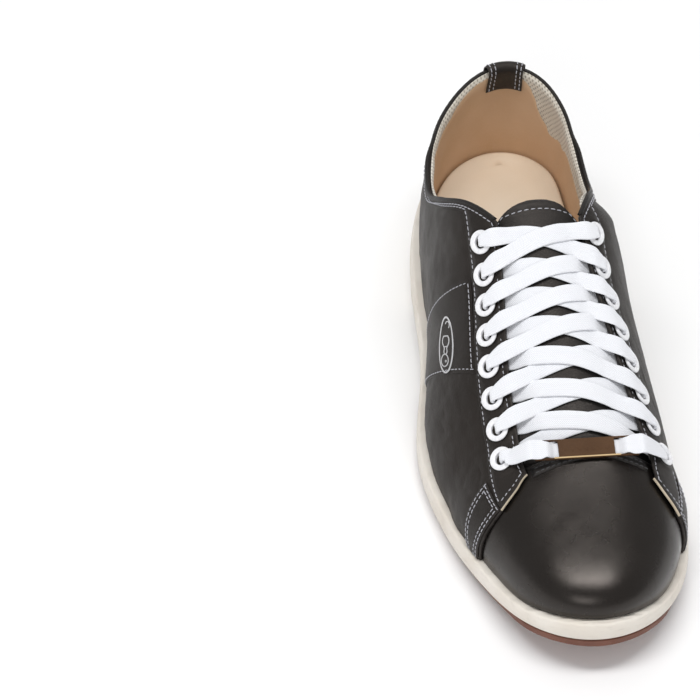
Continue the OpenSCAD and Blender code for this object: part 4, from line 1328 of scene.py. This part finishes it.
def filled_plate(name, loops, low, high, bevel, place, body, material):
    """Plate with holes: the first loop is its outline and the rest are holes."""
    edit = bmesh.new()
    edges = []
    for loop in loops:
        verts = [edit.verts.new((x, y, 0)) for x, y in loop]
        edges += [edit.edges.new((verts[k - 1], verts[k])) for k in range(len(verts))]
    bmesh.ops.triangle_fill(edit, edges=edges, use_beauty=True)
    top = bmesh.ops.extrude_face_region(edit, geom=list(edit.faces))
    for vert in (g for g in top["geom"] if isinstance(g, bmesh.types.BMVert)):
        vert.co.z = high - low
    bmesh.ops.recalc_face_normals(edit, faces=edit.faces)
    rims = [e for e in edit.edges if len(e.link_faces) == 2 and e.calc_face_angle(0) > 1]
    bmesh.ops.bevel(edit, geom=rims, offset=bevel, segments=3, profile=.6, affect="EDGES")
    for vert in edit.verts:
        vert.co = Vector(place(vert.co.x, vert.co.y, vert.co.z + low)) * MM
    mesh = bpy.data.meshes.new(name)
    edit.to_mesh(mesh)
    edit.free()
    piece = link(name, mesh, body, material)
    mesh.set_sharp_from_angle(angle=math.radians(40))
    return piece


BEAD_HALF = 14.5
LOZENGE = ((1.1, 0), (0, 1.5), (-1.1, 0), (0, -1.5))
LOZENGE_PITCH = 3


def build_tag():
    slot_x, slot_half = (SLOT_FROM + SLOT_TO) / 2, (SLOT_TO - SLOT_FROM) / 2
    outer = outline_loop(TAG_HALF, TAG_WIDTH / 2, 1.1)
    slots = [[(x + s * slot_x, y) for x, y in outline_loop(slot_half, 3.95, .8)] for s in (-1, 1)]
    tag = filled_plate("tag_plate", [outer] + slots, 0, TAG_THICK, .28, tag_point, TAG, TAG_LEATHER)
    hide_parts("lace_tag")
    # Gilt bead along the edge by the toe, and a plain row of pressed lozenges
    bar = [(x, .4 - TAG_WIDTH / 2 + z) for x, z in outline_loop(BEAD_HALF, .32, .31, 4)]
    bead = filled_plate("tag_bead", [bar], TAG_THICK - .05, TAG_THICK + .2, .1, tag_point, TAG, TAG_RIM)
    for k in range(-3, 4):
        lozenge = [(k * LOZENGE_PITCH + x, y) for x, y in LOZENGE]
        mark = filled_plate(f"tag_lozenge_{k + 3}", [lozenge], TAG_THICK - .05, TAG_THICK + .1, .05,
                            tag_point, TAG, TAG_LEATHER)


# ------------------------------------------------------------------ badge
BADGE_F, BADGE_V = .519, .41
BADGE_HALF = (12, 5.4)
BADGE_LEAN_ALONG, BADGE_LEAN_UP = .67, -.11


def badge_place(x, y):
    """Turn and height on the outer side from millimetres along the badge and up it."""
    across, up = x + BADGE_LEAN_ALONG * y, y + BADGE_LEAN_UP * x
    return at(LATERAL, BADGE_F + across / UPPER_LENGTH), BADGE_V + up / WALL


def stroke(path, width, low, high, closed=False):
    """Raised line drawn on the badge: points and faces of a flat ribbon with rounded sides."""
    path = np.array(path, float)
    if closed:
        path = np.vstack([path, path[:1]])
    path = resample(path, .35)
    ahead = unit(np.gradient(path, axis=0))
    if closed:
        ahead[0] = ahead[-1] = unit(ahead[0] + ahead[-1])
    side = np.stack([-ahead[:, 1], ahead[:, 0]], -1)
    shoulder = mix(low, high, .6)
    section = [(-.5, low), (-.5, shoulder), (-.3, high), (.3, high), (.5, shoulder), (.5, low)]
    rows = []
    for share, height in section:
        p = path + side * share * width
        rows.append(skin(*badge_place(p[:, 0], p[:, 1]), height))
    points = np.stack(rows, 1)
    n, m = points.shape[:2]
    return points.reshape(-1, 3), tube_faces(n, m) + end_caps(n, m, m)


def arc(cx, cy, rx, ry, start=0, stop=360, count=40):
    t = np.radians(np.linspace(start, stop, count))
    return np.stack([cx + rx * np.cos(t), cy + ry * np.sin(t)], -1)


def build_badge():
    """A plain oval ring round a skittle and a ball, in raised grey print."""
    low, high = .5, .78
    skittle_side = curve_through(np.array([[0, 1.15], [.9, .85], [1.3, .1], [1.0, -.55], [1.1, -1.2],
                                           [2.4, -2.6], [2.6, -4.0], [1.7, -5.2]]), 6)
    skittle = np.vstack([skittle_side, (skittle_side * [-1, 1])[::-1]])
    skittle = np.stack([skittle[:, 1] + 2.0, skittle[:, 0]], -1)
    drawn = [(arc(0, 0, BADGE_HALF[0], BADGE_HALF[1], count=90)[:-1], .8, True),
             (skittle * [1.25, 1], .55, True),
             ([[.6, -1.15], [.6, 1.15]], .45, False),
             (arc(6.6, -.6, 2.7, 2.7)[:-1], .55, True),
             (arc(7.0, .3, .45, .45, count=12)[:-1], .35, True),
             (arc(-8.6, 1.2, 1.6, 1.6, 40, 250), .45, False)]
    strokes = [stroke(path, width, low, high, closed) for path, width, closed in drawn]
    piece = link("badge_print_oval", solid_mesh("badge_print_oval", *gathered(strokes)), SHOE,
                 BADGE_PRINT)
    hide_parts("badge_oval")


# ------------------------------------------------------------------ stitching
STITCH_PITCH = 2.6
STITCH_LENGTH = 2.0
STITCH_WIDE = .48


def stitch_template():
    """Capsule lying along x. Its points are shares of the length, width and height."""
    t = np.linspace(0, np.pi, 9)
    x = -np.cos(t)
    radius = np.sin(t) ** .45
    around = np.linspace(0, 2 * np.pi, 8, endpoint=False)
    ring = stack(x[:, None], radius[:, None] * np.cos(around), radius[:, None] * np.sin(around))
    return ring.reshape(-1, 3), tube_faces(9, 8)


def stitch_row(place, normal, seed, pitch=STITCH_PITCH, length=STITCH_LENGTH, wide=STITCH_WIDE):
    """Points and faces of a row of stitches along a path of points with normals."""
    draw = np.random.default_rng(seed)
    step = .25
    both = resample(np.hstack([place, normal]), step)
    chosen = slice(int(pitch / (2 * step)), None, max(1, int(round(pitch / step))))
    ahead = unit(np.gradient(both[:, :3], axis=0))[chosen]
    centre, up = both[chosen, :3], unit(both[chosen, 3:])
    across = unit(np.cross(up, ahead))
    slant = draw.normal(.06, .03, len(centre))[:, None]
    ahead, across = unit(ahead + slant * across), unit(across - slant * ahead)
    flat, faces = stitch_template()
    size = draw.uniform(.92, 1.06, len(centre))[:, None, None]
    dip = -.22 * flat[:, 0] ** 2
    points = (centre[:, None] + ahead[:, None] * (flat[:, :1] * length / 2) * size
              + across[:, None] * (flat[:, 1:2] * wide / 2)
              + up[:, None] * (flat[:, 2:] * wide * .42 + dip[:, None] + .1))
    firsts = range(0, len(flat) * len(centre), len(flat))
    return points.reshape(-1, 3), [[first + c for c in f] for first in firsts for f in faces]


def sew(name, rows, body, material, slot, **sizes):
    sewn = [stitch_row(*row, seed + len(name), **sizes) for seed, row in enumerate(rows)]
    piece = link(name, solid_mesh(name, *gathered(sewn)), body, material)


def on_skin(a, v, off):
    place, normal = surface(a, v)
    return lifted(place, normal, off), normal


def sew_side(name, side):
    rows = []
    stay_top = EYESTAY - .1
    # Seam along the foot of the facing, from the mouth's rim to the front edge
    f = np.linspace(EYESTAY_BACK + .004, .84, 300)
    v = seam_v(side, f) + SEAM_INSET / WALL
    keep = f < front_f(side, v) - .011
    low_off = eyestay_thick(SEAM_INSET) - .12
    rows.append(on_skin(at(side, f)[keep], v[keep], lift(f)[keep] + low_off))
    # Row along the facing's inner edge and round its front corner
    v = top_v(side, f) - ROW_INSET / WALL
    keep = f < front_f(side, v) - FRONT_INSET / UPPER_LENGTH
    rows.append(on_skin(at(side, f)[keep], v[keep], lift(f)[keep] + stay_top))
    v = np.linspace(v[keep][-1], .1, 200)
    f = front_f(side, v) - FRONT_INSET / UPPER_LENGTH
    above = v > seam_v(side, f) + SEAM_INSET / WALL
    rows.append(on_skin(at(side, f)[above], v[above], lift(f)[above] + stay_top))
    # Two rows along each edge of the side bar
    a, v, *_ = bar_grid(side, 4, 40)
    place = surface(a, v)[0]
    width = np.linalg.norm(place[-1] - place[0], axis=-1)
    height = (bar_top(side) - BAR_FOOT) * WALL
    for inset in BAR_ROWS:
        line = np.linspace(0, 1 - inset / height, 100)
        back = inset / np.interp(line, np.linspace(0, 1, len(width)), width)
        across = np.linspace(back[-1], 1 - back[-1], 30)
        for u, t in ((back, line), (1 - back, line), (across, np.full(30, line[-1]))):
            a, v, f = bar_place(side, u, t)
            rows.append(on_skin(a, v, lift(f) + OVERLAY - .12))
    sew(name, rows, SHOE, WHITE_THREAD, "lace_cotton")


def build_stitching():
    for name, side in SIDES.items():
        sew_side(name + "_stitches", side)
    # Panel: the two long sides and the top
    rows = []
    line = np.linspace(.03, 1, 120)
    for u in (.045, .955):
        rows.append(on_skin(*panel_place(np.full(120, u), line * .975), .42))
    rows.append(on_skin(*panel_place(np.linspace(.045, .955, 80), np.full(80, .975)), .42))
    sew("panel_stitches", rows, SHOE, WHITE_THREAD, "lace_cotton")
    # Collar row at the back, below the folded edge, where there is no facing strip
    a = np.linspace(-turn(EYESTAY_BACK + .01), turn(EYESTAY_BACK + .01), 300)
    f = frac(np.abs(a))
    outside = np.abs(a) > TAB_HALF + .004
    for piece, keep in (("lateral", (a > 0) & outside), ("medial", (a < 0) & outside)):
        rows = [on_skin(a[keep], spline(RIM_V, f[keep]) - 3.6 / WALL, -GAP + .05)]
        sew(f"collar_stitches_{piece}", rows, SHOE, WHITE_THREAD, "lace_cotton")
    # Double rows down both edges of the heel strip
    path = curve_through(np.array(TAB_PATH), 12)
    rows = []
    along = unit(np.gradient(path * [WALL, 1], axis=0))
    for share in (-.86, -.62, .62, .86):
        a = np.full(len(path), share * TAB_HALF)
        v = path[:, 0] - .44 * along[:, 1] / WALL
        off = path[:, 1] + .44 * along[:, 0]
        place, normal = tab_skin(a, v)
        points = lifted(place, normal, off)
        step = unit(np.gradient(points, axis=0))
        shift = (spline(RIM_V, frac(np.abs(a))) - RIM_BACK) * smooth(.25, .36, v)
        across = surface(a + .01, v + shift)[0] - place
        rows.append((points, unit(np.cross(across, step))))
    sew("heel_strip_stitches", rows, SHOE, WHITE_THREAD, "lace_cotton", pitch=2.8)
    # Tongue: one row inside its edge
    back = TONGUE_F[0] + TONGUE_ROW / UPPER_LENGTH
    f = np.linspace(.60, back, 120)
    inset = 1 - TONGUE_ROW / TONGUE_HALF
    round_f = np.full(80, back)
    shares = np.concatenate([np.full(120, -inset), np.linspace(-inset, inset, 80), np.full(120, inset)])
    fs = np.concatenate([f, round_f, f[::-1]])
    a, v = tongue_place(fs, shares)
    sew("tongue_stitches", [on_skin(a, v, TONGUE_TOP - .12)], TONGUE, WHITE_THREAD, "lace_cotton", pitch=3.0)


def build_raw_edges():
    """Pale cut edge along the front of the facing, from the throat down to its lower seam."""
    for name, side in SIDES.items():
        top = float(top_v(side, np.float64(.79)))
        low = float(seam_v(side, np.float64(.82)))
        v = np.linspace(low, top, 120)
        f = front_f(side, v) + .2 / UPPER_LENGTH
        points = []
        for t in np.linspace(0, 2 * np.pi, 13):
            place, normal = surface(at(side, f + .4 * math.cos(t) / UPPER_LENGTH), v)
            points.append(place + normal * (lift(f) + .3 + .62 * math.sin(t))[:, None])
        ring = np.stack(points, 1)
        n, m = ring.shape[:2]
        faces = quads(n, m) + end_caps(n, m, m - 1)
        piece = link(name + "_raw_edge", solid_mesh(name + "_raw_edge", ring, faces), SHOE, RAW_EDGE)


BAND_SPAN = .95
BAND_F = (.777, .800)


def band_place(share, f):
    """Turn and height on the throat's band at shares from -1, the lateral end, to 1."""
    half = np.where(share < 0, 1 - edge_v(LATERAL, f), 1 - edge_v(MEDIAL, f))
    return np.where(share < 0, at(LATERAL, f), at(MEDIAL, f)), 1 - np.abs(share) * half * BAND_SPAN


def build_throat_band():
    """Folded band sewn across the back edge of the vamp, in front of the tag."""
    share = steps(70, 64, 1)[:, None] * 2 - 1
    t = steps(8, 6.5, .8)[None]
    place, normal = surface(*band_place(share, mix(*BAND_F, t) + 0 * share))
    hump = np.sin(np.pi * np.clip(t, 0, 1)) ** .5
    off = .05 + .75 * hump + groove((t - .5) * 6.5, .12, .6) - .9 * smooth(.93, 1, np.abs(share))
    band = slab("throat_band", lifted(place, normal, off), lifted(place, normal, -.2), SHOE,
                BINDING_LEATHER)
    rows = []
    line = np.linspace(-.93, .93, 200)
    for shift in (.26, .74):
        rows.append(on_skin(*band_place(line, np.full(200, mix(*BAND_F, shift))), .62))
    sew("throat_stitches", rows, SHOE, DARK_THREAD, "vamp_leather")


# ------------------------------------------------------------------ studio
FLOOR_HALF_M = 6
WORLD_STRENGTH = .49
# Each light's name, place, size, power in watts and the point it faces
LIGHTS = [
    ("overhead_softbox", (-150, -170, 1500), (1300, 300), 13.5, (-150, 0, 40)),
    ("front_softbox", (-500, -1400, 900), (900, 700), 5, (0, 0, 40)),
    ("back_softbox", (300, 1300, 900), (1200, 500), 3, (0, 0, 40)),
]


def make_floor():
    edit = bmesh.new()
    bmesh.ops.create_grid(edit, x_segments=8, y_segments=8, size=FLOOR_HALF_M)
    mesh = bpy.data.meshes.new("studio_floor")
    edit.to_mesh(mesh)
    edit.free()
    floor = bpy.data.objects.new("studio_floor", mesh)
    bpy.context.scene.collection.objects.link(floor)
    s = Shader("studio_paper", .9)
    s.color(s.blend(s.between(s.noise(400, 2), .3, .7), (.96, .96, .96), (.94, .94, .945)))
    mesh.materials.append(s.material)


def area_light(name, place, size, power, target):
    data = bpy.data.lights.new(name, "AREA")
    data.shape = "RECTANGLE"
    data.size, data.size_y = (s * MM for s in size)
    data.energy = power
    light = bpy.data.objects.new(name, data)
    light.location = Vector(place) * MM
    light.rotation_euler = (Vector(target) - Vector(place)).to_track_quat("-Z", "Y").to_euler()
    bpy.context.scene.collection.objects.link(light)


def make_studio():
    make_floor()
    for light in LIGHTS:
        area_light(*light)
    world = bpy.data.worlds.new("studio")
    bpy.context.scene.world = world
    world.use_nodes = True
    world.node_tree.nodes["Background"].inputs["Color"].default_value = (1, 1, 1, 1)
    world.node_tree.nodes["Background"].inputs["Strength"].default_value = WORLD_STRENGTH
    bpy.context.scene.view_settings.view_transform = "Standard"


# ------------------------------------------------------------------ build
def finish_hidden_nodes():
    for name, material in HIDDEN_FINISHES.items():
        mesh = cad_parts[name].data
        mesh.materials.clear()
        mesh.materials.append(material)


build_sole()
build_vamp()
for label, which in SIDES.items():
    build_quarter(label + "_quarter_shell", which)
    build_eyestay(label + "_facing", which)
    build_facing_lining(label + "_facing_backing", which)
    build_side_bar(label + "_bar", which)
    build_eyelets(label + "_eyelet_rings", which)
build_panel()
build_badge()
build_linings()
build_heel_lining()
build_binding()
build_heel_tab()
build_tongue()
build_throat_band()
build_raw_edges()
build_lace()
build_tag()
build_stitching()
finish_hidden_nodes()
make_studio()
